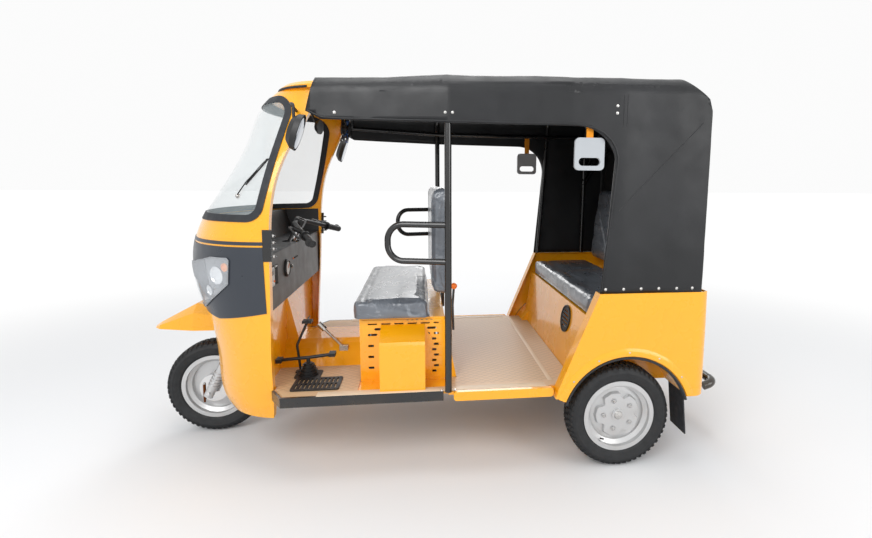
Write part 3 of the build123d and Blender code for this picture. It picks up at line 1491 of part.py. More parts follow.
def rim_solid(x, y, face, bore_r, drum_r, drum_reach):
    """Pressed steel rim, disc, brake drum and hub, its face towards +Y or -Y."""
    flange_y = bead_half_width + seat_gap
    outer_y = flange_y + rim_gauge
    seat_r = bead_r - seat_gap
    with BuildPart() as rim:
        with BuildSketch(wheel_plane(x, y)):
            with BuildLine():
                Polyline(
                    (rim_flange_r, outer_y),
                    (rim_flange_r, flange_y),
                    (seat_r, flange_y),
                    (seat_r, 24),
                    (134, 14),
                    (134, -14),
                    (seat_r, -24),
                    (seat_r, -flange_y),
                    (rim_flange_r, -flange_y),
                    (rim_flange_r, -outer_y),
                    (seat_r - rim_gauge, -outer_y),
                    (seat_r - rim_gauge, -26.4),
                    (134 - rim_gauge, -16.4),
                    (134 - rim_gauge, 16.4),
                    (seat_r - rim_gauge, 26.4),
                    (seat_r - rim_gauge, outer_y),
                    close=True,
                )
            make_face()
        revolve(axis=Axis((x, y, axle_z), (0, 1, 0)))
        with BuildSketch(wheel_plane(x, y)):
            with BuildLine():
                Polyline(
                    (131, face * 4),
                    (131, face * 9),
                    (122, face * 12),
                    (112, face * web_y),
                    (hub_r, face * web_y),
                    (hub_r, face * hub_y),
                    (bore_r, face * hub_y),
                    (bore_r, -face * drum_reach),
                    (bore_r + 14, -face * drum_reach),
                    (bore_r + 14, face * 3),
                    (drum_r - 6, face * 3),
                    (drum_r - 6, -face * drum_reach),
                    (drum_r, -face * drum_reach),
                    (drum_r, face * 3),
                    close=True,
                )
            make_face()
        revolve(axis=Axis((x, y, axle_z), (0, 1, 0)))
        face_plane = Plane(origin=(x, y, axle_z), x_dir=(1, 0, 0), z_dir=(0, face, 0))
        with BuildSketch(face_plane.offset(web_y - 2)):
            add(star_face(star_tip_r, star_notch_r))
        with BuildSketch(face_plane.offset(star_y)):
            add(star_face(star_tip_r - 7, star_notch_r - 7))
        loft(ruled=True)
        with BuildSketch(face_plane.offset(star_y - 4)):
            with PolarLocations(lug_circle_r, lobe_count):
                Circle(13)
        extrude(amount=5, mode=Mode.SUBTRACT)
        with BuildSketch(face_plane.offset(star_y - 5)):
            with PolarLocations(lug_circle_r, lobe_count):
                RegularPolygon(9, 6)
        extrude(amount=10)
        with BuildSketch(face_plane.offset(star_y - 2)):
            Circle(hub_r)
            Circle(bore_r, mode=Mode.SUBTRACT)
        extrude(amount=hub_y - star_y + 2)
        with BuildSketch(face_plane.offset(-drum_reach)):
            Circle(bore_r)
        extrude(amount=drum_reach + hub_y, mode=Mode.SUBTRACT)
    return rim


front_bore_r = axle_pin_r + seat_gap
front_drum_r = 68.0
front_drum_reach = brake_plate_y - seat_gap
front_rim = rim_solid(front_axle_x, 0, -1, front_bore_r, front_drum_r, front_drum_reach)
front_rim.part.label = "front_rim"
export_step(front_rim.part, "parts/front_rim.step")

with BuildPart() as front_tyre:
    add(tyre_solid(front_axle_x, 0))
front_tyre.part.label = "front_tyre"
export_step(front_tyre.part, "parts/front_tyre.step")

for side_name, side in (("left", 1), ("right", -1)):
    hub_centre_y = side * wheel_centre_y
    with BuildPart() as rear_tyre:
        add(tyre_solid(rear_axle_x, hub_centre_y))
    rear_tyre.part.label = f"rear_tyre_{side_name}"
    export_step(rear_tyre.part, f"parts/rear_tyre_{side_name}.step")
    rear_bore_r = spindle_r + seat_gap
    rear_rim = rim_solid(rear_axle_x, hub_centre_y, side, rear_bore_r, rear_drum_r, rear_drum_reach)
    rear_rim.part.label = f"rear_rim_{side_name}"
    export_step(rear_rim.part, f"parts/rear_rim_{side_name}.step")
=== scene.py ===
import json
import math

import bmesh
import bpy
from mathutils import Matrix, Vector, noise
from mathutils.bvhtree import BVHTree


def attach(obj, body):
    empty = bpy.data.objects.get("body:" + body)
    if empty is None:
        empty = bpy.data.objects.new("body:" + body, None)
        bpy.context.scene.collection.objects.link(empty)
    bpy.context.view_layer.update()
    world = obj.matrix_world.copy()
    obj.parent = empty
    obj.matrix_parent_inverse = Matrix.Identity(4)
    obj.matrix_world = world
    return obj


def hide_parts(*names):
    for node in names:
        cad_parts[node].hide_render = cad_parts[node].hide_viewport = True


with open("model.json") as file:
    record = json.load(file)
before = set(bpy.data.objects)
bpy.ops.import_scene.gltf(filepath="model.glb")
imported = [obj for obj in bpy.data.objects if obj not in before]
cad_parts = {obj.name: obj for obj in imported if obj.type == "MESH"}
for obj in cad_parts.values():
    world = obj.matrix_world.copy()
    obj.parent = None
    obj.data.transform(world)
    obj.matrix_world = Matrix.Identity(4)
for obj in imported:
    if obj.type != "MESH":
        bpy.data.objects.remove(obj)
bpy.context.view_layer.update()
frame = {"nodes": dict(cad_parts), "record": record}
NODES = frame["nodes"]
MM = 0.001

# Photo frame and the camera solved for it, in metres and degrees
PHOTO_WIDTH = 872
PHOTO_HEIGHT = 538
CAMERA_PLACE = (0.079, 2.711, 1.323)
CAMERA_YAW = -7.29
CAMERA_PITCH = 7.31
CAMERA_ROLL = 0.38
FOCAL_PIXELS = 498.3
PRINCIPAL_POINT = (482.7, 245.4)
SENSOR_WIDTH = 36.0

# Colours as they look in the photo, sRGB 0 to 255
YELLOW = (250, 172, 10)
CHARCOAL = (46, 51, 59)
HOOD_BLACK = (24, 25, 27)
TUBE_BLACK = (14, 14, 15)
RUBBER_BLACK = (26, 27, 29)
TRAY_BLACK = (22, 22, 23)
DASH_GREY = (88, 85, 82)
MAT_BEIGE = (206, 172, 132)
# Darker beige in the mat's lattice grooves: painted shade.
MAT_GROOVE_SHADE = (158, 128, 98)
MAT_PALE = (226, 204, 176)
SEAT_GREY = (104, 109, 116)
# Pale tint on the seat film's crease ridges: a painted highlight.
FILM_HIGHLIGHT = (205, 210, 216)
WHEEL_SILVER = (200, 200, 200)
CHROME = (222, 222, 222)
STEEL_DARK = (70, 68, 66)
RUST_BROWN = (104, 56, 24)
ENGINE_GREY = (120, 120, 122)
HANDLE_GREY = (176, 180, 184)
STRAP_ORANGE = (240, 150, 20)
LENS_WHITE = (238, 242, 246)
LAMP_RED = (190, 22, 20)
BLADE_BLUE = (40, 90, 160)
FLOOR_PALE = (236, 236, 236)


def linear(colour):
    """Linear RGBA of an sRGB colour given from 0 to 255."""
    channels = []
    for value in colour:
        share = value / 255
        channels.append(share / 12.92 if share <= 0.04045 else ((share + 0.055) / 1.055) ** 2.4)
    return (*channels, 1.0)


class Surface:
    """A procedural material on one Principled shader, worked in object coordinates."""

    def __init__(self, name, colour, roughness=0.5, metallic=0.0, coat=0.0, coat_roughness=0.1, specular=0.5):
        self.material = bpy.data.materials.new(name)
        self.material.use_nodes = True
        self.tree = self.material.node_tree
        self.shader = self.tree.nodes["Principled BSDF"]
        self.set("Base Color", linear(colour))
        self.set("Roughness", roughness)
        self.set("Metallic", metallic)
        self.set("Coat Weight", coat)
        self.set("Coat Roughness", coat_roughness)
        self.set("Specular IOR Level", specular)
        self.coordinates = self.node("ShaderNodeTexCoord").outputs["Object"]
        self.height = None

    def set(self, socket, value):
        self.shader.inputs[socket].default_value = value

    def node(self, kind, **settings):
        made = self.tree.nodes.new(kind)
        for key, value in settings.items():
            setattr(made, key, value)
        return made

    def link(self, source, target):
        self.tree.links.new(source, target)

    def feed(self, target, value):
        """Puts a number, vector or another node's output on a socket."""
        if isinstance(value, bpy.types.NodeSocket):
            self.link(value, target)
        elif value is not None:
            target.default_value = value

    def stretch(self, scale):
        """Object coordinates scaled by a vector."""
        mapping = self.node("ShaderNodeMapping")
        mapping.inputs["Scale"].default_value = scale
        self.link(self.coordinates, mapping.inputs["Vector"])
        return mapping.outputs["Vector"]

    def noise(self, scale, detail=3.0, roughness=0.5, vector=None, distortion=0.0):
        made = self.node("ShaderNodeTexNoise")
        self.link(vector or self.coordinates, made.inputs["Vector"])
        made.inputs["Scale"].default_value = scale
        made.inputs["Detail"].default_value = detail
        made.inputs["Roughness"].default_value = roughness
        made.inputs["Distortion"].default_value = distortion
        return made.outputs["Fac"]

    def cells(self, scale, vector=None, feature="F1"):
        made = self.node("ShaderNodeTexVoronoi", feature=feature)
        self.link(vector or self.coordinates, made.inputs["Vector"])
        made.inputs["Scale"].default_value = scale
        return made.outputs["Distance"]

    def math(self, operation, first, second=None, third=None):
        made = self.node("ShaderNodeMath", operation=operation)
        for socket, value in zip(made.inputs, (first, second, third)):
            self.feed(socket, value)
        return made.outputs[0]

    def span(self, value, low, high, to_low=0.0, to_high=1.0, smooth=False):
        made = self.node("ShaderNodeMapRange")
        made.interpolation_type = "SMOOTHSTEP" if smooth else "LINEAR"
        self.feed(made.inputs["Value"], value)
        for socket, number in zip(("From Min", "From Max", "To Min", "To Max"), (low, high, to_low, to_high)):
            made.inputs[socket].default_value = number
        return made.outputs["Result"]

    def axes(self):
        made = self.node("ShaderNodeSeparateXYZ")
        self.link(self.coordinates, made.inputs[0])
        return made.outputs["X"], made.outputs["Y"], made.outputs["Z"]

    def tint(self, factor, colour, source=None):
        """Mixes another colour into the base by a factor."""
        mix = self.node("ShaderNodeMix", data_type="RGBA")
        self.feed(mix.inputs["Factor"], factor)
        base = self.shader.inputs["Base Color"]
        if base.is_linked:
            self.link(base.links[0].from_socket, mix.inputs["A"])
        else:
            mix.inputs["A"].default_value = base.default_value
        mix.inputs["B"].default_value = linear(colour)
        self.link(mix.outputs["Result"], base)

    def rough(self, value):
        self.link(value, self.shader.inputs["Roughness"])

    def bump(self, height, strength, distance):
        """Adds a bump on top of those before it."""
        made = self.node("ShaderNodeBump")
        made.inputs["Strength"].default_value = strength
        made.inputs["Distance"].default_value = distance
        self.link(height, made.inputs["Height"])
        if self.height:
            self.link(self.height, made.inputs["Normal"])
        self.height = made.outputs["Normal"]
        self.link(self.height, self.shader.inputs["Normal"])


def painted(name, colour, roughness=0.28, coat=0.6):
    """Gloss paint with orange peel, faint cloudiness and a little dust low down."""
    made = Surface(name, colour, roughness, coat=coat, coat_roughness=0.05)
    made.tint(made.span(made.noise(1.6, 3), 0.42, 0.8, 0.0, 0.12, smooth=True), tuple(int(c * 0.86) for c in colour))
    _, _, height = made.axes()
    low = made.span(height, 0.26, 0.42, 0.3, 0.0, smooth=True)
    grime = made.span(made.noise(5, 4), 0.42, 0.8, 0.0, 1.0, smooth=True)
    made.tint(made.math("MULTIPLY", low, grime), (150, 118, 70))
    made.rough(made.span(made.noise(9, 3), 0.3, 0.7, roughness - 0.05, roughness + 0.06))
    made.bump(made.noise(160, 2), 0.03, 0.0006)
    return made


def body_paint():
    """Yellow paint with the nose's pressed lines worked as relief."""
    made = painted("body_paint", YELLOW)
    x, y, z = made.axes()
    side = made.math("ABSOLUTE", y)
    front = made.span(x, 0.66, 0.70, 0.0, 1.0, smooth=True)
    curve = made.math("MULTIPLY", made.math("SUBTRACT", z, 0.70), 0.62)
    line = made.math("SUBTRACT", made.math("ADD", x, curve), 0.955)
    groove = made.span(made.math("ABSOLUTE", line), 0.0, 0.012, 1.0, 0.0, smooth=True)
    reach = made.span(z, 0.50, 0.56, 0.0, 1.0, smooth=True)
    reach = made.math("MULTIPLY", reach, made.span(z, 0.66, 0.72, 1.0, 0.0, smooth=True))
    outer = made.span(side, 0.22, 0.30, 0.0, 1.0, smooth=True)
    pressed = made.math("MULTIPLY", made.math("MULTIPLY", groove, reach), made.math("MULTIPLY", front, outer))
    made.bump(pressed, 0.7, -0.004)
    return made


def frame_paint():
    made = painted("frame_paint", TUBE_BLACK, 0.26, 0.5)
    made.bump(made.noise(60, 3), 0.05, 0.0008)
    return made


def moulded(name, colour, roughness=0.5, grain=700.0, depth=0.12):
    """Moulded plastic with a fine grain."""
    made = Surface(name, colour, roughness)
    made.tint(made.span(made.noise(3, 3), 0.42, 0.8, 0.0, 0.16, smooth=True), tuple(int(c * 0.8) for c in colour))
    made.rough(made.span(made.noise(14, 4), 0.3, 0.7, roughness - 0.07, roughness + 0.07))
    made.bump(made.cells(grain), depth, 0.0003)
    return made


def rubber(name="tyre_rubber", colour=RUBBER_BLACK):
    """Dull rubber with a dusty bloom."""
    made = Surface(name, colour, 0.66)
    made.tint(made.span(made.noise(18, 4), 0.45, 0.8, 0.0, 0.3, smooth=True), (52, 51, 50))
    made.rough(made.span(made.noise(36, 4), 0.3, 0.7, 0.55, 0.78))
    made.bump(made.noise(320, 3), 0.12, 0.0004)
    return made


def metal(name, colour, roughness, brushed=0.0):
    made = Surface(name, colour, roughness, metallic=1.0)
    made.tint(made.span(made.noise(7, 4), 0.45, 0.85, 0.0, 0.25, smooth=True), tuple(int(c * 0.7) for c in colour))
    made.rough(made.span(made.noise(40, 4), 0.3, 0.7, max(roughness - 0.06, 0.03), roughness + 0.1))
    made.bump(made.noise(220, 3), 0.05 + brushed, 0.0003)
    return made


def wheel_silver():
    """Silver wheel paint: fine metal flake under a thin coat."""
    made = Surface("wheel_silver", WHEEL_SILVER, 0.34, metallic=0.6, coat=0.3, coat_roughness=0.15)
    made.tint(made.span(made.cells(900), 0.0, 0.6, 0.12, 0.0), (150, 150, 152))
    made.tint(made.span(made.noise(8, 4), 0.5, 0.8, 0.0, 0.14, smooth=True), (150, 138, 122))
    made.bump(made.noise(200, 3), 0.05, 0.0004)
    return made


def floor_mat():
    """Beige moulded mat with a diamond lattice inside smooth edges; the lattice grooves are darkened with painted
    shade.
    """
    made = Surface("floor_mat", MAT_BEIGE, 0.42)
    x, y, _ = made.axes()
    across = made.math("ADD", made.math("MULTIPLY", x, 22.0), made.math("MULTIPLY", y, 30.0))
    along = made.math("SUBTRACT", made.math("MULTIPLY", x, 22.0), made.math("MULTIPLY", y, 30.0))
    ridges = []
    for run in (across, along):
        saw = made.math("ABSOLUTE", made.math("SUBTRACT", made.math("FRACT", run), 0.5))
        ridges.append(made.span(saw, 0.0, 0.13, 1.0, 0.0, smooth=True))
    lattice = made.math("MAXIMUM", ridges[0], ridges[1])
    inside = made.span(made.math("ABSOLUTE", y), 0.535, 0.545, 1.0, 0.0, smooth=True)
    pattern = made.math("MULTIPLY", lattice, inside)
    # Painted shade: the recessed lattice lines are tinted darker.
    made.tint(made.math("MULTIPLY", pattern, 0.6), MAT_GROOVE_SHADE)
    made.tint(made.span(made.noise(4, 4), 0.42, 0.8, 0.0, 0.3, smooth=True), (186, 158, 124))
    made.bump(pattern, 0.5, -0.0012)
    made.bump(made.noise(240, 3), 0.06, 0.0003)
    return made


def seat_cover():
    """Grey vinyl under a creased clear film, with painted highlights on the crease ridges."""
    made = Surface("seat_cover", SEAT_GREY, 0.42, coat=0.45, coat_roughness=0.14)
    folds = made.noise(13.0, 5, 0.6, made.stretch((1.0, 0.5, 1.2)), 1.3)
    # Painted highlight: pale colour on the raised fold crests of the film.
    made.tint(made.span(folds, 0.56, 0.68, 0.0, 0.2, smooth=True), FILM_HIGHLIGHT)
    made.tint(made.span(made.noise(4, 4, 0.5, None, 0.6), 0.35, 0.6, 0.5, 0.0, smooth=True), (78, 82, 88))
    made.rough(made.span(folds, 0.35, 0.65, 0.24, 0.4))
    made.bump(folds, 0.4, 0.005)
    made.bump(made.noise(36.0, 4, 0.55, made.stretch((1.0, 0.6, 1.2)), 0.8), 0.2, 0.002)
    made.bump(made.cells(500), 0.06, 0.0004)
    return made


def seat_piping():
    made = Surface("seat_piping", (70, 74, 80), 0.4, coat=0.3)
    made.tint(made.span(made.noise(30, 3), 0.45, 0.8, 0.0, 0.3), (120, 124, 130))
    made.bump(made.noise(200, 3), 0.1, 0.0005)
    return made


def hood_fabric():
    """Coated canvas: fine weave under a satin coat."""
    made = Surface("hood_fabric", HOOD_BLACK, 0.42, specular=0.4)
    made.set("Sheen Weight", 0.06)
    made.set("Sheen Roughness", 0.4)
    made.tint(made.span(made.noise(2.6, 4, 0.55), 0.45, 0.8, 0.0, 0.35, smooth=True), (46, 47, 50))
    x, y, z = made.axes()
    warp = made.math("SINE", made.math("MULTIPLY", made.math("ADD", x, y), 3600.0))
    weft = made.math("SINE", made.math("MULTIPLY", made.math("SUBTRACT", z, y), 3600.0))
    made.rough(made.span(made.noise(12, 4), 0.3, 0.7, 0.34, 0.5))
    made.bump(made.math("MULTIPLY", warp, weft), 0.05, 0.0003)
    made.bump(made.noise(5.0, 4, 0.5, made.stretch((0.5, 1.2, 1.0)), 0.5), 0.16, 0.008)
    return made


def webbing():
    made = Surface("strap_webbing", STRAP_ORANGE, 0.7)
    _, _, z = made.axes()
    made.bump(made.math("SINE", made.math("MULTIPLY", z, 2600.0)), 0.5, 0.0005)
    made.tint(made.span(made.noise(60, 4), 0.5, 0.8, 0.0, 0.3), (180, 96, 8))
    return made


def clear_pane(name, tone, alpha, roughness=0.02):
    """Clear moulded or glass pane: mostly see-through with a glossy face."""
    made = Surface(name, tone, roughness, specular=0.5)
    made.set("Alpha", alpha)
    made.tint(made.span(made.noise(3, 3), 0.4, 0.8, 0.0, 0.15), tuple(int(c * 0.85) for c in tone))
    made.rough(made.span(made.noise(6, 3), 0.3, 0.7, roughness, roughness + 0.04))
    made.bump(made.noise(1.4, 2), 0.04, 0.002)
    return made


def fluted(name, tone, alpha):
    """Clear lamp cover with faint upright flutes."""
    made = clear_pane(name, tone, alpha, 0.05)
    _, y, z = made.axes()
    flutes = made.math("SINE", made.math("MULTIPLY", made.math("ADD", y, z), 420.0))
    made.bump(flutes, 0.25, 0.0012)
    return made


def bowl():
    """Bright lamp bowl with pressed facets."""
    made = Surface("lamp_bowl", (236, 238, 240), 0.12, metallic=1.0)
    made.tint(made.span(made.noise(14, 3), 0.45, 0.8, 0.0, 0.2), (190, 192, 196))
    made.bump(made.cells(70), 0.4, 0.002)
    return made


def mirror_glass():
    made = Surface("mirror_face", (186, 190, 196), 0.05, metallic=1.0)
    made.tint(made.span(made.noise(4, 3), 0.4, 0.8, 0.0, 0.2), (150, 154, 160))
    made.bump(made.noise(3, 2), 0.02, 0.001)
    return made


MAKERS = {
    "body_paint": body_paint,
    "flare_paint": lambda: painted("flare_paint", YELLOW),
    "fascia_plastic": lambda: moulded("fascia_plastic", CHARCOAL, 0.34, 900, 0.06),
    "lamp_lens": lambda: fluted("lamp_lens", LENS_WHITE, 0.2),
    "lamp_silver": lambda: moulded("lamp_silver", (120, 124, 130), 0.25, 700, 0.05),
    "lamp_bowl": bowl,
    "bulb_glass": lambda: clear_pane("bulb_glass", (250, 246, 236), 0.85, 0.1),
    "amber_lens": lambda: clear_pane("amber_lens", (244, 150, 50), 0.9, 0.12),
    "seal_rubber": lambda: rubber("seal_rubber", (30, 33, 38)),
    "screen_glass": lambda: clear_pane("screen_glass", (214, 226, 228), 0.14),
    "dash_plastic": lambda: moulded("dash_plastic", DASH_GREY),
    "black_plastic": lambda: moulded("black_plastic", TRAY_BLACK),
    "frame_paint": frame_paint,
    "floor_mat": floor_mat,
    "mat_edge": lambda: moulded("mat_edge", MAT_PALE, 0.45, 500, 0.1),
    "seat_cover": seat_cover,
    "seat_piping": seat_piping,
    "hood_fabric": hood_fabric,
    "flap_rubber": lambda: rubber("flap_rubber", (34, 36, 40)),
    "engine_metal": lambda: metal("engine_metal", ENGINE_GREY, 0.55),
    "spring_steel": lambda: metal("spring_steel", STEEL_DARK, 0.5),
    "exhaust_steel": lambda: metal("exhaust_steel", STEEL_DARK, 0.42),
    "handle_plastic": lambda: moulded("handle_plastic", HANDLE_GREY, 0.35, 1200, 0.05),
    "strap_webbing": webbing,
    "fork_chrome": lambda: metal("fork_chrome", CHROME, 0.12),
    "wheel_silver": wheel_silver,
    "tyre_rubber": rubber,
    "lamp_red": lambda: clear_pane("lamp_red", LAMP_RED, 0.9, 0.08),
    "mirror_face": mirror_glass,
    "steel_bright": lambda: metal("steel_bright", (205, 203, 200), 0.25),
    "rust_steel": lambda: metal("rust_steel", RUST_BROWN, 0.6),
    "fan_blue": lambda: moulded("fan_blue", BLADE_BLUE, 0.3, 1200, 0.05),
    "toggle_orange": lambda: moulded("toggle_orange", (236, 112, 24), 0.35, 1200, 0.05),
    "panel_pale": lambda: moulded("panel_pale", (196, 194, 188), 0.4, 700, 0.08),
}
made_materials = {}


def finish_of(name):
    """The material of a name, made on first use."""
    if name not in made_materials:
        made_materials[name] = MAKERS[name]().material
    return made_materials[name]


def dress_nodes():
    """Gives every CAD node the material of its slot."""
    for part in frame["record"]["subparts"]:
        node = NODES[part["node"]]
        node.data.materials.clear()
        node.data.materials.append(finish_of(part["material_slot"]))


def floor_and_light():
    """Pale floor and soft studio light."""
    mesh = bpy.data.meshes.new("studio_floor")
    reach = 60.0
    mesh.from_pydata([(-reach, -reach, 0), (reach, -reach, 0), (reach, reach, 0), (-reach, reach, 0)], [], [(0, 1, 2, 3)])
    floor = bpy.data.objects.new("studio_floor", mesh)
    bpy.context.scene.collection.objects.link(floor)
    surface = Surface("studio_floor", FLOOR_PALE, 0.9)
    surface.tint(surface.span(surface.noise(1.5, 3), 0.4, 0.7, 0.0, 0.02), (226, 226, 226))
    x, y, _ = surface.axes()
    reach_out = surface.math("SQRT", surface.math("ADD", surface.math("MULTIPLY", x, x), surface.math("MULTIPLY", y, y)))
    glow = surface.span(reach_out, 1.6, 5.5, 0.0, 1.0, smooth=True)
    surface.tint(glow, (0, 0, 0))
    surface.set("Emission Color", (0.955, 0.955, 0.955, 1))
    surface.feed(surface.shader.inputs["Emission Strength"], glow)
    mesh.materials.append(surface.material)

    world = bpy.data.worlds.new("studio")
    bpy.context.scene.world = world
    world.use_nodes = True
    tree = world.node_tree
    tree.nodes.clear()
    output = tree.nodes.new("ShaderNodeOutputWorld")
    mix = tree.nodes.new("ShaderNodeMixShader")
    light = tree.nodes.new("ShaderNodeBackground")
    light.inputs["Color"].default_value = (0.93, 0.96, 1.0, 1)
    light.inputs["Strength"].default_value = 0.55
    shown = tree.nodes.new("ShaderNodeBackground")
    shown.inputs["Color"].default_value = (0.97, 0.97, 0.97, 1)
    shown.inputs["Strength"].default_value = 1.0
    path = tree.nodes.new("ShaderNodeLightPath")
    first = tree.nodes.new("ShaderNodeMath")
    first.operation = "MAXIMUM"
    tree.links.new(path.outputs["Is Camera Ray"], first.inputs[0])
    tree.links.new(path.outputs["Is Transmission Ray"], first.inputs[1])
    second = tree.nodes.new("ShaderNodeMath")
    second.operation = "MAXIMUM"
    tree.links.new(first.outputs[0], second.inputs[0])
    tree.links.new(path.outputs["Is Glossy Ray"], second.inputs[1])
    tree.links.new(second.outputs[0], mix.inputs["Fac"])
    tree.links.new(light.outputs[0], mix.inputs[1])
    tree.links.new(shown.outputs[0], mix.inputs[2])
    tree.links.new(mix.outputs[0], output.inputs["Surface"])

    for name, place, aim, size, power in (
        ("key", (2.2, 4.2, 3.6), (0, 0, 0.9), 3.2, 150),
        ("fill", (-3.6, 3.6, 2.4), (-0.3, 0, 0.8), 3.0, 70),
        ("top", (0.0, 0.2, 4.6), (0, 0, 1), 3.4, 70),
        ("back", (-0.5, -4.4, 3.2), (0, 0, 1), 3.0, 70),
    ):
        lamp = bpy.data.lights.new(name, "AREA")
        lamp.shape = "DISK"
        lamp.size = size
        lamp.energy = power
        placed = bpy.data.objects.new(name, lamp)
        bpy.context.scene.collection.objects.link(placed)
        placed.location = place
        placed.rotation_euler = (Vector(aim) - Vector(place)).to_track_quat("-Z", "Y").to_euler()


def camera():
    """The photo's viewpoint, turned by yaw, pitch and roll from a level look along -Y."""
    turn = Matrix.Rotation(math.radians(CAMERA_YAW), 3, "Z")
    right, up, ahead = (turn @ Vector(v) for v in ((-1, 0, 0), (0, 0, 1), (0, -1, 0)))
    pitch = math.radians(CAMERA_PITCH)
    look = ahead * math.cos(pitch) - up * math.sin(pitch)
    above = up * math.cos(pitch) + ahead * math.sin(pitch)
    roll = math.radians(CAMERA_ROLL)
    side = right * math.cos(roll) + above * math.sin(roll)
    top = above * math.cos(roll) - right * math.sin(roll)
    data = bpy.data.cameras.new("photo_camera")
    data.sensor_width = SENSOR_WIDTH
    data.lens = FOCAL_PIXELS * SENSOR_WIDTH / PHOTO_WIDTH
    data.shift_x = (PHOTO_WIDTH / 2 - PRINCIPAL_POINT[0]) / PHOTO_WIDTH
    data.shift_y = (PRINCIPAL_POINT[1] - PHOTO_HEIGHT / 2) / PHOTO_WIDTH
    placed = bpy.data.objects.new("photo_camera", data)
    bpy.context.scene.collection.objects.link(placed)
    basis = Matrix((side, top, -look)).transposed()
    placed.matrix_world = Matrix.Translation(CAMERA_PLACE) @ basis.to_4x4()
    bpy.context.scene.camera = placed



class Shape:
    """Collects lathes, bars and blocks into one mesh piece. Points are in millimetres."""

    def __init__(self):
        self.bm = bmesh.new()

    def skin(self, rings, slot=0, closed=True):
        """Faces between rings of points, each ring closed or open."""
        rows = [[self.bm.verts.new(Vector(p) * MM) for p in ring] for ring in rings]
        for lower, upper in zip(rows, rows[1:]):
            count = len(lower)
            for i in range(count if closed else count - 1):
                j = (i + 1) % count
                face = self.bm.faces.new((lower[i], lower[j], upper[j], upper[i]))
                face.material_index = slot
        return rows

    def cap(self, row, slot=0):
        face = self.bm.faces.new(row)
        face.material_index = slot

    def lathe(self, profile, place, axis, steps=28, slot=0, stretch=1.0):
        """Turned shape from (radius, height) pairs along an axis."""
        turn = Vector(axis).to_track_quat("Z", "Y").to_matrix()
        rings = []
        for radius, height in profile:
            ring = []
            for i in range(steps):
                angle = math.tau * i / steps
                spoke = Vector((radius * math.cos(angle), radius * stretch * math.sin(angle), height))
                ring.append(Vector(place) + turn @ spoke)
            rings.append(ring)
        rows = self.skin(rings, slot)
        if profile[0][0] > 0:
            self.cap(list(reversed(rows[0])), slot)
        if profile[-1][0] > 0:
            self.cap(rows[-1], slot)

    def bar(self, points, radius, steps=10, slot=0, flat=1.0, up=(0, 0, 1)):
        """Round or flattened bar along a path."""
        path = [Vector(p) for p in points]
        side = None
        rings = []
        for i, point in enumerate(path):
            ahead = (path[min(i + 1, len(path) - 1)] - path[max(i - 1, 0)]).normalized()
            if side is None:
                guess = Vector(up) if abs(ahead.dot(Vector(up))) < 0.95 else Vector((0, 1, 0))
                side = guess.cross(ahead).normalized()
            side = (side - ahead * side.dot(ahead)).normalized()
            over = ahead.cross(side)
            ring = []
            for k in range(steps):
                angle = math.tau * k / steps
                ring.append(point + radius * (math.cos(angle) * side + flat * math.sin(angle) * over))
            rings.append(ring)
        rows = self.skin(rings, slot)
        self.cap(list(reversed(rows[0])), slot)
        self.cap(rows[-1], slot)

    def block(self, place, size, slot=0, bevel=2.0, turn=None):
        """Block with softened edges."""
        made = bmesh.ops.create_cube(self.bm, size=1.0)["verts"]
        spin = turn or Matrix.Identity(3)
        for vert in made:
            scaled = Vector((vert.co.x * size[0], vert.co.y * size[1], vert.co.z * size[2]))
            vert.co = (Vector(place) + spin @ scaled) * MM
        edges = list({e for v in made for e in v.link_edges})
        faces = list({f for v in made for f in v.link_faces})
        for face in faces:
            face.material_index = slot
        bmesh.ops.bevel(self.bm, geom=edges, offset=bevel * MM, segments=2, affect="EDGES", profile=0.5)

    def stud(self, place, axis, radius=6.0, height=3.5, slot=0):
        """Round screw head with a washer and a slot-less dome."""
        self.lathe(
            [(radius, 0), (radius, 1.0), (radius * 0.72, 1.2), (radius * 0.66, height * 0.6), (radius * 0.4, height), (0.01, height + 0.3)],
            place, axis, 14, slot,
        )

    def done(self, name, finishes, body="root", angle=34):
        """Closes the piece, dresses it and lets it ride on a body."""
        bmesh.ops.remove_doubles(self.bm, verts=self.bm.verts, dist=1e-6)
        bmesh.ops.recalc_face_normals(self.bm, faces=self.bm.faces)
        mesh = bpy.data.meshes.new(name)
        self.bm.to_mesh(mesh)
        self.bm.free()
        mesh.shade_smooth()
        mesh.set_sharp_from_angle(angle=math.radians(angle))
        for finish in finishes:
            mesh.materials.append(finish_of(finish))
        made = bpy.data.objects.new(name, mesh)
        bpy.context.scene.collection.objects.link(made)
        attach(made, body)
        return made


def camera_axes():
    """Right, up and forward of the photo's viewpoint."""
    turn = Matrix.Rotation(math.radians(CAMERA_YAW), 3, "Z")
    right, up, ahead = (turn @ Vector(v) for v in ((-1, 0, 0), (0, 0, 1), (0, -1, 0)))
    pitch = math.radians(CAMERA_PITCH)
    look = ahead * math.cos(pitch) - up * math.sin(pitch)
    above = up * math.cos(pitch) + ahead * math.sin(pitch)
    roll = math.radians(CAMERA_ROLL)
    side = right * math.cos(roll) + above * math.sin(roll)
    top = above * math.cos(roll) - right * math.sin(roll)
    return side, top, look


def sight(spot):
    """Direction from the camera through a spot of the photo."""
    side, top, look = camera_axes()
    across = (spot[0] - PRINCIPAL_POINT[0]) / FOCAL_PIXELS
    down = (spot[1] - PRINCIPAL_POINT[1]) / FOCAL_PIXELS
    return (look + side * across - top * down).normalized()


def tree_of(node):
    """Search tree over a CAD node's faces."""
    mesh = NODES[node].data
    return BVHTree.FromPolygons([v.co for v in mesh.vertices], [p.vertices for p in mesh.polygons])


found_trees = {}


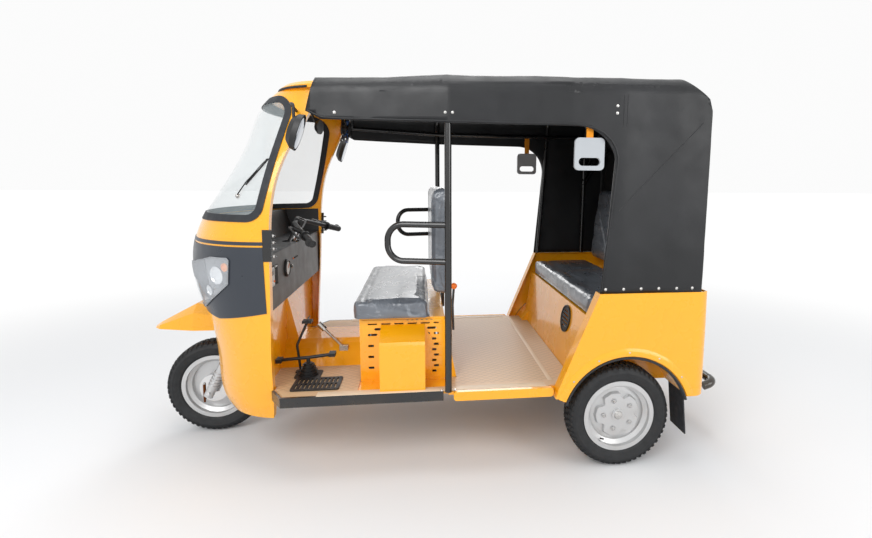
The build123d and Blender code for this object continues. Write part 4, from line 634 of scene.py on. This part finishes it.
def seen(node, spot, lift=0.0):
    """Point, in millimetres, and normal where a spot of the photo falls on a node."""
    if node not in found_trees:
        found_trees[node] = tree_of(node)
    ray = sight(spot)
    place, normal, _, _ = found_trees[node].ray_cast(Vector(CAMERA_PLACE), ray)
    if place is None:
        place, normal, _, _ = found_trees[node].find_nearest(Vector(CAMERA_PLACE) + ray * 2.2)
    if normal.dot(ray) > 0:
        normal = -normal
    return place / MM + normal * lift, normal


def on_plane(spot, side_y):
    """Point, in millimetres, where a spot of the photo meets a plane of constant Y."""
    ray = sight(spot)
    reach = (side_y * MM - CAMERA_PLACE[1]) / ray.y
    return (Vector(CAMERA_PLACE) + ray * reach) / MM


def tyre(node, centre, body):
    """Tyre with a lugged tread, shoulder blocks and moulded rings on its walls."""
    made = Shape()
    wall = [
        (153, 44), (168, 44.2), (171, 45.5), (176, 51), (178, 52.6), (180, 53.2), (182, 53.4), (190, 57), (200, 59.6),
        (207, 60.4), (209, 61.2), (211, 61.2), (213, 60.2), (222, 57.5), (229, 53.5), (234, 47),
        (236.5, 38), (237.5, 20), (238, 0),
    ]
    profile = wall + [(r, -h) for r, h in reversed(wall[:-1])]
    steps = 120
    rings = []
    for radius, offset in profile:
        ring = []
        for i in range(steps):
            angle = math.tau * i / steps
            ring.append((centre[0] + radius * math.cos(angle), centre[1] + offset, centre[2] + radius * math.sin(angle)))
        rings.append(ring)
    made.skin(rings)
    pitches = 54
    for i in range(pitches):
        middle = math.tau * i / pitches
        for row, (low, high, lag, share) in enumerate(
            ((-50, -31, 0.0, 0.62), (-28, -3, 0.5, 0.7), (3, 28, 0.0, 0.7), (31, 50, 0.5, 0.62))
        ):
            start = middle + lag * math.tau / pitches
            width = share * math.tau / pitches
            skew = (0.16 if row < 2 else -0.16) * math.tau / pitches
            corners = []
            for depth in (0, 1):
                for turn, offset in ((0, low), (1, low), (1, high), (0, high)):
                    lean = skew if abs(offset) > 29 else 0
                    angle = start + (turn - 0.5) * width * (1 - 0.08 * depth) + lean
                    crown = 243.6 - 7.5 * max(0, (abs(offset) - 20) / 30) ** 2
                    radius = crown if depth else crown - 9
                    shown = offset + (0.9 if offset == low else -0.9) * depth
                    corners.append((centre[0] + radius * math.cos(angle), centre[1] + shown, centre[2] + radius * math.sin(angle)))
            rows = made.skin([corners[:4], corners[4:]])
            made.cap(rows[1])
        for side in (-1, 1):
            start = middle + 0.25 * math.tau / pitches
            width = 0.5 * math.tau / pitches
            rings = []
            for radius, offset in ((226, 56.5), (233.5, 53.2)):
                ring = []
                for turn, lift in ((-0.5, -1.5), (0.5, -1.5), (0.5, 2.6), (-0.5, 2.6)):
                    angle = start + turn * width
                    ring.append((centre[0] + radius * math.cos(angle), centre[1] + side * (offset + lift), centre[2] + radius * math.sin(angle)))
                rings.append(ring)
            rows = made.skin(rings)
            made.cap(rows[0])
            made.cap(rows[1])
    placed = made.done(node + "_tread", ["tyre_rubber"], body, 28)
    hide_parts(node)


def wheel_trim(name, centre, face, body):
    """Valve stem, rim bolts and hub cap of one wheel."""
    made = Shape()
    angle = math.radians(-58)
    valve = Vector((centre[0] + 141 * math.cos(angle), centre[1] + face * 22, centre[2] + 141 * math.sin(angle)))
    inward = Vector((-math.cos(angle) * 0.45, face, -math.sin(angle) * 0.45))
    made.lathe([(5, 0), (4, 4), (3, 8), (3, 16), (3.8, 17), (3.8, 22), (2.5, 23)], valve, inward, 12)
    for k in range(5):
        turn = math.radians(72 * k)
        spot = (centre[0] + 70 * math.cos(turn), centre[1] + face * 35.2, centre[2] + 70 * math.sin(turn))
        made.lathe([(5.4, 0), (5.0, 4), (3.4, 6.4), (0.01, 6.8)], spot, (0, face, 0), 14, 1)
    hub = (centre[0], centre[1] + face * 36.4, centre[2])
    made.lathe([(20, -2), (20, 4), (17, 8), (9, 10.4), (0.01, 11)], hub, (0, face, 0), 28, 1)
    made.done(name, ["black_plastic", "steel_bright"], body)


def sheet_from(node, keep, cuts):
    """Finely cut copy of the outer faces of a soft CAD node, as loose mesh data."""
    made = bmesh.new()
    made.from_mesh(NODES[node].data)
    bmesh.ops.remove_doubles(made, verts=made.verts, dist=2e-5)
    made.normal_update()
    dropped = [f for f in made.faces if not keep(f)]
    bmesh.ops.delete(made, geom=dropped, context="FACES")
    for axis, low, high, step in cuts:
        normal = Vector((axis == 0, axis == 1, axis == 2))
        place = low
        while place < high:
            geometry = made.verts[:] + made.edges[:] + made.faces[:]
            bmesh.ops.bisect_plane(made, geom=geometry, dist=1e-6, plane_co=normal * place, plane_no=normal)
            place += step
    bmesh.ops.dissolve_degenerate(made, dist=2e-4, edges=made.edges)
    return made


HOOPS = (0.484, -0.042, -0.42, -0.790, -1.052)
REAR_HOOPS = (1.77, 1.664, 1.526, 1.26, 0.95)


def hood():
    """Canvas hood as one curved sheet, drawn tight on its hoops and slack between them."""
    def outer(face):
        middle = face.calc_center_median()
        core = Vector((max(min(middle.x, 0.45), -0.95), max(min(middle.y, 0.4), -0.4), max(min(middle.z, 1.5), 0.9)))
        return face.normal.dot((middle - core).normalized()) > 0.3

    grid = ((0, -1.2, 0.54, 0.026), (1, -0.65, 0.65, 0.028), (2, 0.86, 1.77, 0.026))
    made = sheet_from("hood", outer, grid)
    made.normal_update()
    moves = {}
    for vert in made.verts:
        normal = vert.normal.copy()
        place = vert.co
        if abs(normal.x) > 0.35 and place.x < -1.02:
            along, stops, amount = place.z, REAR_HOOPS, 0.008
            inset = 1 - min(1, abs(place.y) / 0.64) ** 4
        elif normal.z > 0.5:
            along, stops, amount = place.x, HOOPS, 0.009
            inset = 1 - min(1, abs(place.y) / 0.64) ** 4
        else:
            along, stops, amount = place.x, HOOPS, 0.004
            inset = 1.0
        gap = 0.0
        for high, low in zip(stops, stops[1:]):
            if low <= along <= high:
                gap = math.sin(math.pi * (along - low) / (high - low)) ** 0.8
        slack = amount * gap * inset
        folds = noise.noise(Vector((place.x * 5.0, place.y * 3.0 + place.z * 2.2, place.z * 5.5)))
        fine = noise.noise(Vector((place.x * 16.0, place.y * 9.0, place.z * 13.0)) + Vector((7, 3, 1)))
        drag = math.sin((place.z * 1.9 + place.x * 1.2) * 26.0 + 3.2 * folds) * 0.5 + 0.5
        amount = 0.0022 * abs(folds) + 0.0007 * fine + 0.0016 * drag * max(0.0, folds)
        near_edge = 1.0
        moves[vert] = normal * (-(slack + amount) * near_edge - 0.0004)
    for vert, move in moves.items():
        vert.co += move
    mesh = bpy.data.meshes.new("hood_canvas")
    made.to_mesh(mesh)
    made.free()
    mesh.shade_smooth()
    mesh.materials.append(finish_of("hood_fabric"))
    placed = bpy.data.objects.new("hood_canvas", mesh)
    bpy.context.scene.collection.objects.link(placed)
    thick = placed.modifiers.new("gauge", "SOLIDIFY")
    thick.thickness = 0.0018
    thick.offset = -1.0
    bpy.context.view_layer.objects.active = placed
    placed.select_set(True)
    bpy.ops.object.modifier_apply(modifier="gauge")
    placed.select_set(False)
    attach(placed, "root")
    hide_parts("hood")
    return placed


OPENING_EDGE = (
    (536, 1603), (510, 1590), (478, 1576), (400, 1572), (311, 1570.5), (150, 1566.5), (-23, 1563.5), (-254, 1560.5), (-500, 1558.5),
    (-560, 1557), (-602, 1554), (-650, 1543), (-692, 1524), (-725, 1496), (-747, 1462), (-757, 1426), (-758, 1400),
    (-744, 1240), (-730, 1092), (-716, 950), (-707, 842),
)


def hood_trim(canvas):
    """Bound edge, twin seams, fastening studs and bolts of the hood."""
    made = Shape()
    tree = BVHTree.FromPolygons([v.co for v in canvas.data.vertices], [p.vertices for p in canvas.data.polygons])

    def on_side(side, x, z, lift):
        place, normal, _, _ = tree.ray_cast(Vector((x * MM, side * 0.75, z * MM)), Vector((0, -side, 0)))
        if place is None:
            place, normal, _, _ = tree.find_nearest(Vector((x * MM, side * 0.65, z * MM)))
        return Vector((x, place.y / MM + side * lift, z)), Vector((0, side, 0))

    for side in (-1, 1):
        made.bar([on_side(side, x - 5, z + 5, 0.4)[0] for x, z in OPENING_EDGE], 4.2, 8, 0, 1.0)
        for shift in (-8, 8):
            seam = [on_side(side, -789 + shift, z, 0.1)[0] for z in range(1560, 1690, 16)]
            made.bar(seam, 1.3, 6, 0)
        seam = [on_side(side, -1140 + 52 * t, 1580 - 54 * t, 0.1)[0] for t in range(0, 8)]
        made.bar(seam, 1.4, 6, 0)
        for x in (-730, -812, -894, -976, -1058, -1132):
            place, normal = on_side(side, x, 856, 0.6)
            made.stud(place, normal, 6.5, 3.0, 1)
        for x, z in ((-752, 1612), (-752, 1642), (-60, 1602), (-30, 1602), (420, 1600)):
            place, normal = on_side(side, x, z, 0.6)
            made.stud(place, normal, 6.0, 3.2, 1)
    placed = made.done("hood_trim", ["hood_fabric", "steel_bright"])
    return placed


def grow(pad, amount):
    """Moves each vertex along its normal by an amount that depends on its place."""
    normals = [v.normal.copy() for v in pad.data.vertices]
    for vert, normal in zip(pad.data.vertices, normals):
        vert.co += normal * amount(vert.co)


def simulate(pad, pinned, pressure, frames=20, cap=0.014):
    """Puffs a pad with the cloth solver between its sewn lines and applies the result."""
    scene = bpy.context.scene
    group = pad.vertex_groups.new(name="sewn")
    start = []
    for vert in pad.data.vertices:
        weight = pinned(vert.co)
        start.append(vert.co.copy())
        if weight > 0:
            group.add([vert.index], weight, "REPLACE")
    cloth = pad.modifiers.new("cloth", "CLOTH")
    cloth.settings.quality = 5
    cloth.settings.use_pressure = True
    cloth.settings.uniform_pressure_force = pressure
    cloth.settings.effector_weights.gravity = 0
    cloth.settings.vertex_group_mass = "sewn"
    cloth.settings.tension_stiffness = 12
    cloth.settings.compression_stiffness = 12
    cloth.settings.bending_stiffness = 0.4
    cloth.point_cache.frame_start = 1
    cloth.point_cache.frame_end = frames
    for step in range(1, frames + 1):
        scene.frame_set(step)
    depsgraph = bpy.context.evaluated_depsgraph_get()
    settled = pad.evaluated_get(depsgraph).data
    ends = [v.co.copy() for v in settled.vertices]
    pad.modifiers.remove(cloth)
    for vert, before, after in zip(pad.data.vertices, start, ends):
        move = after - before
        if move.length > cap:
            move = move.normalized() * cap
        vert.co = before + move
    scene.frame_set(1)


def cushion(node, sewn_lines, long_axis, seed, film=0.0018, face_axis=2, face_sign=1):
    """Upholstered pad that stands for a CAD cushion: puffed, sewn and wrapped in film."""
    source = NODES[node]
    mesh = source.data.copy()
    mesh.name = node + "_pad"
    pad = bpy.data.objects.new(node + "_pad", mesh)
    bpy.context.scene.collection.objects.link(pad)
    bpy.context.view_layer.objects.active = pad
    remesh = pad.modifiers.new("even", "REMESH")
    remesh.mode = "VOXEL"
    remesh.voxel_size = 0.0085
    pad.select_set(True)
    bpy.ops.object.modifier_apply(modifier="even")
    pad.select_set(False)
    points = [v.co.copy() for v in source.data.vertices]
    low = Vector((min(p[i] for p in points) for i in range(3)))
    high = Vector((max(p[i] for p in points) for i in range(3)))
    grow(pad, lambda place: -0.007)

    def line_weight(place):
        nearest = min((abs(place[axis] - at) for axis, at in sewn_lines), default=1.0)
        facing = (place[face_axis] - (low if face_sign > 0 else high)[face_axis]) * face_sign
        if facing < 0.014:
            return 1.0
        return 1.0 if nearest < 0.006 else 0.0

    simulate(pad, line_weight, 3.2)
    bpy.context.view_layer.objects.active = pad
    finer = pad.modifiers.new("finer", "SUBSURF")
    finer.levels = 1
    pad.select_set(True)
    bpy.ops.object.modifier_apply(modifier="finer")
    pad.select_set(False)
    shift = Vector((seed, seed * 1.7, seed * 0.3))

    def creased(place):
        facing = (place[face_axis] - (low if face_sign > 0 else high)[face_axis]) * face_sign
        rise = min(1.0, max(0.0, (facing - 0.006) / 0.03))
        warp = noise.noise(place * 6 + shift) * 1.2
        stretched = Vector((place.x * 13, place.y * 7.5, place.z * 13)) + shift + Vector((warp, -warp, warp))
        crease = 1 - abs(noise.noise(stretched)) * 2.2
        crumple = 1 - abs(noise.noise(stretched * 2.3 + shift)) * 2.0
        return rise * film * (max(0.0, crease) ** 2.2 + 0.45 * max(0.0, crumple) ** 2 - 0.35)

    grow(pad, creased)
    for vert in pad.data.vertices:
        for axis in range(3):
            vert.co[axis] = min(max(vert.co[axis], low[axis] + 0.0006), high[axis])
    pad.data.shade_smooth()
    pad.data.materials.clear()
    pad.data.materials.append(finish_of("seat_cover"))
    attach(pad, "root")
    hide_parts(node)
    return pad


def piping(name, runs, radius=4.0):
    """Sewn piping cord along the edges of a pad."""
    made = Shape()
    for run in runs:
        made.bar(run, radius, 8)
    return made.done(name, ["seat_piping"])


def headlamp_parts():
    """Clear shell over a silver housing with a main bowl, a turn signal bowl and bulbs."""
    source = NODES["headlamps"].data
    for part, wanted, finish in (("lens", True, "lamp_lens"), ("housing", False, "lamp_silver")):
        made = bmesh.new()
        made.from_mesh(source)
        bmesh.ops.remove_doubles(made, verts=made.verts, dist=2e-5)
        made.normal_update()
        dropped = []
        for face in made.faces:
            middle = face.calc_center_median()
            outward = Vector((middle.x - 0.74, middle.y * 0.9, 0)).normalized()
            if (face.normal.dot(outward) > 0.55) != wanted:
                dropped.append(face)
        bmesh.ops.delete(made, geom=dropped, context="FACES")
        mesh = bpy.data.meshes.new("headlamp_" + part)
        made.to_mesh(mesh)
        made.free()
        mesh.shade_smooth()
        mesh.set_sharp_from_angle(angle=math.radians(30))
        mesh.materials.append(finish_of(finish))
        placed = bpy.data.objects.new("headlamp_" + part, mesh)
        bpy.context.scene.collection.objects.link(placed)
        if wanted:
            thick = placed.modifiers.new("gauge", "SOLIDIFY")
            thick.thickness = 0.0025
            thick.offset = -1.0
            bpy.context.view_layer.objects.active = placed
            placed.select_set(True)
            bpy.ops.object.modifier_apply(modifier="gauge")
            placed.select_set(False)
        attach(placed, "root")
        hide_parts("headlamps")
    made = Shape()
    for side in (-1, 1):
        for spot, radius, slot in (((214, 276), 36, 0), ((207, 291), 20, 0), ((222, 268), 15, 2)):
            place, normal = seen("headlamps", spot, -13)
            centre = Vector((place.x, side * place.y, place.z))
            aim = Vector((normal.x, side * normal.y, normal.z))
            bowl = [(radius * s, -20 + 24 * s * s) for s in (0.12, 0.3, 0.5, 0.7, 0.85, 1.0)]
            made.lathe(bowl + [(radius + 3, 3), (radius + 3, -1)], centre, aim, 32, slot)
            made.lathe([(6, -22), (6, -8), (4.5, -3), (0.01, -0.5)], centre, aim, 14, 1)
    made.done("headlamp_bowls", ["lamp_bowl", "bulb_glass", "amber_lens"])


def mirrors_and_lamps():
    """Mirror faces, tail lamp lenses and the cabin fan's blades."""
    made = Shape()
    tilt = math.radians(18.7)
    aim = Vector((-math.cos(tilt), 0, -math.sin(tilt)))
    for side in (-1, 1):
        turn = aim.to_track_quat("Z", "Y").to_matrix()
        centre = Vector((547, side * 612, 1510)) - aim * 0.2
        rings = []
        for scale, height in ((1.0, 0.0), (1.0, 1.2), (0.96, 1.8)):
            ring = []
            for i in range(40):
                angle = math.tau * i / 40
                spot = Vector((0, 45.5 * math.cos(angle) * scale, 66 * math.sin(angle) * scale))
                upright = Matrix.Rotation(-tilt, 3, "Y")
                ring.append(centre + upright @ spot + aim * (height - 0.5))
            rings.append(ring)
        rows = made.skin(rings)
        made.cap(list(reversed(rows[0])))
        made.cap(rows[-1])
    made.done("mirror_glasses", ["mirror_face"])

    made = Shape()
    for side in (-1, 1):
        for z, slot in ((583, 0), (650, 1), (704, 2)):
            made.block((-1247.2, side * 530, z), (9, 70, 44 if z < 690 else 34), slot, 4)
        for z in (616, 680):
            made.stud((-1246, side * 530, z), (-1, 0, 0), 4, 2.5, 3)
    made.done("tail_lamp_lenses", ["lamp_red", "amber_lens", "bulb_glass", "steel_bright"])

    made = Shape()
    centre = Vector((494, -350, 1606))
    aim = Vector((-1, 0, -0.12)).normalized()
    turn = aim.to_track_quat("Z", "Y").to_matrix()
    for k in range(4):
        rows = []
        for radius, chord in ((14, 10), (30, 17), (48, 20), (60, 14), (66, 4)):
            ring = []
            for edge in (-1, 1):
                angle = math.tau * k / 4 + edge * chord / max(radius, 20) + 0.006 * radius
                ring.append(centre + turn @ Vector((radius * math.cos(angle), radius * math.sin(angle), -edge * 7)))
            rows.append(ring)
        front = [[p + aim * 1.0 for p in r] for r in rows]
        back = [[p - aim * 1.0 for p in r] for r in rows]
        made.skin([[f[0], f[1], b[1], b[0]] for f, b in zip(front, back)])
    made.lathe([(15, -10), (15, 6), (10, 11), (0.01, 12)], centre, aim, 20)
    made.done("fan_blades", ["fan_blue"])


def wiper():
    """Wiper arm and blade on the windscreen, placed by sight on the glass."""
    made = Shape()
    foot, normal = seen("windscreen_glass", (238, 196), 7)
    joint, _ = seen("windscreen_glass", (259, 171), 12)
    made.bar([foot, (foot + joint) / 2 + normal * 6, joint], 3.2, 8, 0, 0.7)
    made.stud(foot - normal * 7, normal, 11, 12, 1)
    blade = []
    for i in range(13):
        share = i / 12
        spot = (246.7 + 26.0 * share, 185 - 30.0 * share)
        blade.append(seen("windscreen_glass", spot, 4.5)[0])
    made.bar(blade, 3.4, 8, 0, 1.0)
    spine = [p + normal * (3 + 5 * math.sin(math.pi * i / 12)) for i, p in enumerate(blade)]
    made.bar(spine[1:-1], 1.8, 8, 0)
    made.done("wiper", ["black_plastic", "steel_bright"])


def dash_details():
    """Switch panel, instrument and glovebox trim on the dashboard's rear face."""
    made = Shape()
    face = 715.6
    made.block((face - 2, 492, 905), (5, 70, 84), 0, 2)
    for k in range(3):
        made.block((face - 6, 472 + 20 * k, 925), (8, 13, 24), 2, 2)
        made.stud((face - 4.5, 472 + 20 * k, 884), (-1, 0, 0), 6, 5, 1 if k else 3)
    made.lathe([(42, 0), (42, 8), (36, 12), (34, 9), (0.01, 8.6)], (face, 250, 905), (-1, 0, 0), 36, 2)
    made.lathe([(31, 9), (31, 9.6), (0.01, 9.8)], (face, 250, 905), (-1, 0, 0), 32, 0)
    made.bar([(face - 11, 250, 905), (face - 11, 232, 922)], 1.1, 6, 3)
    made.lathe([(10, 0), (10, 10), (7, 12), (7, 9), (0.01, 9)], (face, 170, 900), (-1, 0, 0), 20, 1)
    for k in range(4):
        made.stud((face, 110 - 28 * k, 930), (-1, 0, 0), 5, 4, 3 if k == 0 else 2)
    made.block((face - 5, 440, 946), (8, 26, 7), 1, 2)
    made.done("dash_details", ["panel_pale", "steel_bright", "black_plastic", "toggle_orange"])


def cabin_rods():
    """Ball-headed rod beside the driver's seat and the seat frames' stay bolts."""
    made = Shape()
    head = on_plane((453.9, 286), 470)
    made.bar([head, head + Vector((6, -4, -90)), head + Vector((2, -14, -210))], 5.5, 10, 0)
    made.lathe([(0.01, -15), (9, -12), (14, -5), (15, 0), (13, 8), (7, 13), (0.01, 15)], head, (0, 0, 1), 20, 1)
    made.done("cabin_rod", ["frame_paint", "toggle_orange"])

    made = Shape()
    for side in (-1, 1):
        for x in (-72, -12):
            made.stud((x, side * 605, 405.4), (0, 0, 1), 8, 6, 0)
    for side in (-1, 1):
        for z in (1008, 1040, 1066, 1094):
            made.stud((678, side * 573.5, z), (0, side, 0), 5.5, 3.2, 0)
    made.done("frame_bolts", ["steel_bright"])


def mat_edges():
    """Pale smooth edge bands and a sewn-down strip round the floor mats."""
    made = Shape()
    for side in (-1, 1):
        made.block((20, side * 585, 405.9), (1010, 46, 1.6), 0, 0.6)
    made.block((-520, 0, 405.9), (20, 1080, 1.6), 0, 0.6)
    made.block((30, 0, 405.9), (18, 880, 1.6), 0, 0.6)
    made.done("mat_edges", ["mat_edge"])


def arch_flares():
    """Flared arch lips of the rear wheels with a black inner ring and screws."""
    made = Shape()
    centre = (-850, 244)
    for side in (-1, 1):
        rings = []
        for k in range(41):
            angle = math.radians(20 + 140 * k / 40)
            ring = []
            for radius, offset in ((302, 652), (306, 662), (318, 664), (332, 660), (341, 655.6), (341, 653), (302, 649)):
                ring.append((centre[0] + radius * math.cos(angle), side * offset, centre[1] + radius * math.sin(angle)))
            rings.append(ring)
        rows = made.skin(rings, 0)
        made.cap(rows[0], 0)
        made.cap(rows[-1], 0)
        rings = []
        for k in range(41):
            angle = math.radians(17 + 146 * k / 40)
            ring = []
            for radius, offset in ((290, 640), (290, 655), (294, 660), (301, 660), (303, 652), (301, 640)):
                ring.append((centre[0] + radius * math.cos(angle), side * offset, centre[1] + radius * math.sin(angle)))
            rings.append(ring)
        rows = made.skin(rings, 1)
        made.cap(rows[0], 1)
        made.cap(rows[-1], 1)
        for k in range(5):
            angle = math.radians(38 + 26 * k)
            made.stud((centre[0] + 322 * math.cos(angle), side * 662, centre[1] + 322 * math.sin(angle)), (0, side, 0), 5, 3, 2)
    made.done("arch_flares", ["flare_paint", "flap_rubber", "steel_bright"])


def small_trim():
    """Roof cap edge, mud flap ribs with their screws, pedal rubbers and bumper caps."""
    made = Shape()
    rim = []
    for k in range(61):
        share = k / 60
        y = 472 - 944 * share
        bow = 1 - (y / 472) ** 2
        rim.append(seen_from_front(y, 1716 + 5 * bow))
    made.bar(rim, 5.5, 8, 0)
    made.done("roof_cap_edge", ["seal_rubber"])

    made = Shape()
    for side in (-1, 1):
        for k in range(9):
            x = -1128.4 - 22 * k / 8
            z = 380 - 27 * k
            made.bar([(x - 1.5, side * 506, z), (x - 1.5, side * 629, z)], 2.6, 8, 0)
        for y in (520, 568, 616):
            made.stud((-1127, side * y, 391), (1, 0, 0), 6, 3, 1)
    made.done("mud_flap_ribs", ["flap_rubber", "steel_bright"])

    made = Shape()
    for side in (-1, 1):
        made.lathe([(21.6, 0), (21.6, 4), (18, 7), (0.01, 8)], (-1404, side * 400, 318), (0, side, 0), 24, 0)
    made.done("bumper_caps", ["black_plastic"])

    made = Shape()
    for side in (-1, 1):
        for k in range(6):
            made.block((-33 + 22 * k + 60, side * 452.5, 688), (10, 2, 3), 0, 0.6)
    for k in range(4):
        made.block((622 + 5 * (k - 1.5), 270, 646 - 12 * (k - 1.5)), (5, 46, 3), 1, 0.8)
    made.done("pedal_rubbers", ["seat_piping", "flap_rubber"])


def seen_from_front(y, z):
    """Point just ahead of the roof cap's front face."""
    if "roof_cap" not in found_trees:
        found_trees["roof_cap"] = tree_of("roof_cap")
    place, _, _, _ = found_trees["roof_cap"].ray_cast(Vector((1.2, y * MM, z * MM)), Vector((-1, 0, 0)))
    if place is None:
        place, _, _, _ = found_trees["roof_cap"].find_nearest(Vector((0.75, y * MM, z * MM)))
    return Vector((place.x / MM, y, z))


def brake_side():
    """Front brake arm, axle nut, a cable end and the collars at the hand grips; they steer with the fork."""
    made = Shape()
    centre = Vector((1150, 0, 244))
    near, _ = seen("front_axle", (211, 394), 0)
    face_y = near.y
    made.lathe([(13, -2), (13, 9), (8, 11), (8, 16), (0.01, 16.5)], (1150, face_y, 244), (0, 1, 0), 6, 1)
    low = on_plane((205, 402), face_y + 4)
    high = on_plane((204, 384), face_y + 4)
    made.bar([low, high], 6, 8, 0, 0.6)
    made.stud(high, (0, 1, 0), 6, 5, 1)
    made.done("front_brake_arm", ["rust_steel", "steel_bright"], "steering")

    made = Shape()
    for side in (-1, 1):
        grip = NODES["hand_grips"].data.vertices
        tip = max((v.co for v in grip), key=lambda c: side * c.y)
        root = Vector((tip.x / MM, tip.y / MM, tip.z / MM))
        inward = Vector((0, -side, 0))
        made.lathe([(19, 0), (19, 4), (17.5, 5)], root + inward * 4, inward, 20, 0)
    made.done("grip_collars", ["black_plastic"], "steering")


def dress_all():
    """Puts every dressed piece on the model."""
    tyre("front_tyre", (1150, 0, 244), "front_wheel")
    tyre("rear_tyre_left", (-835, 562, 244), "rear_wheel_left")
    tyre("rear_tyre_right", (-835, -562, 244), "rear_wheel_right")
    wheel_trim("rear_left_trim", (-835, 562, 244), 1, "rear_wheel_left")
    wheel_trim("rear_right_trim", (-835, -562, 244), -1, "rear_wheel_right")
    canvas = hood()
    trim = hood_trim(canvas)
    cushion("passenger_cushion", [(1, -0.19), (1, 0.19), (0, -0.78)], 1, 3.1)
    cushion("passenger_backrest", [(1, -0.19), (1, 0.19), (2, 1.18)], 1, 8.3, face_axis=0)
    cushion("driver_cushion", [(0, 0.33)], 1, 12.9)
    cushion("driver_backrest", [(1, -0.24), (1, 0.24)], 1, 17.2, face_axis=0)
    headlamp_parts()
    mirrors_and_lamps()
    wiper()
    dash_details()
    cabin_rods()
    mat_edges()
    arch_flares()
    small_trim()
    brake_side()


camera()
dress_nodes()
floor_and_light()
dress_all()
bpy.context.scene.view_settings.view_transform = "Standard"
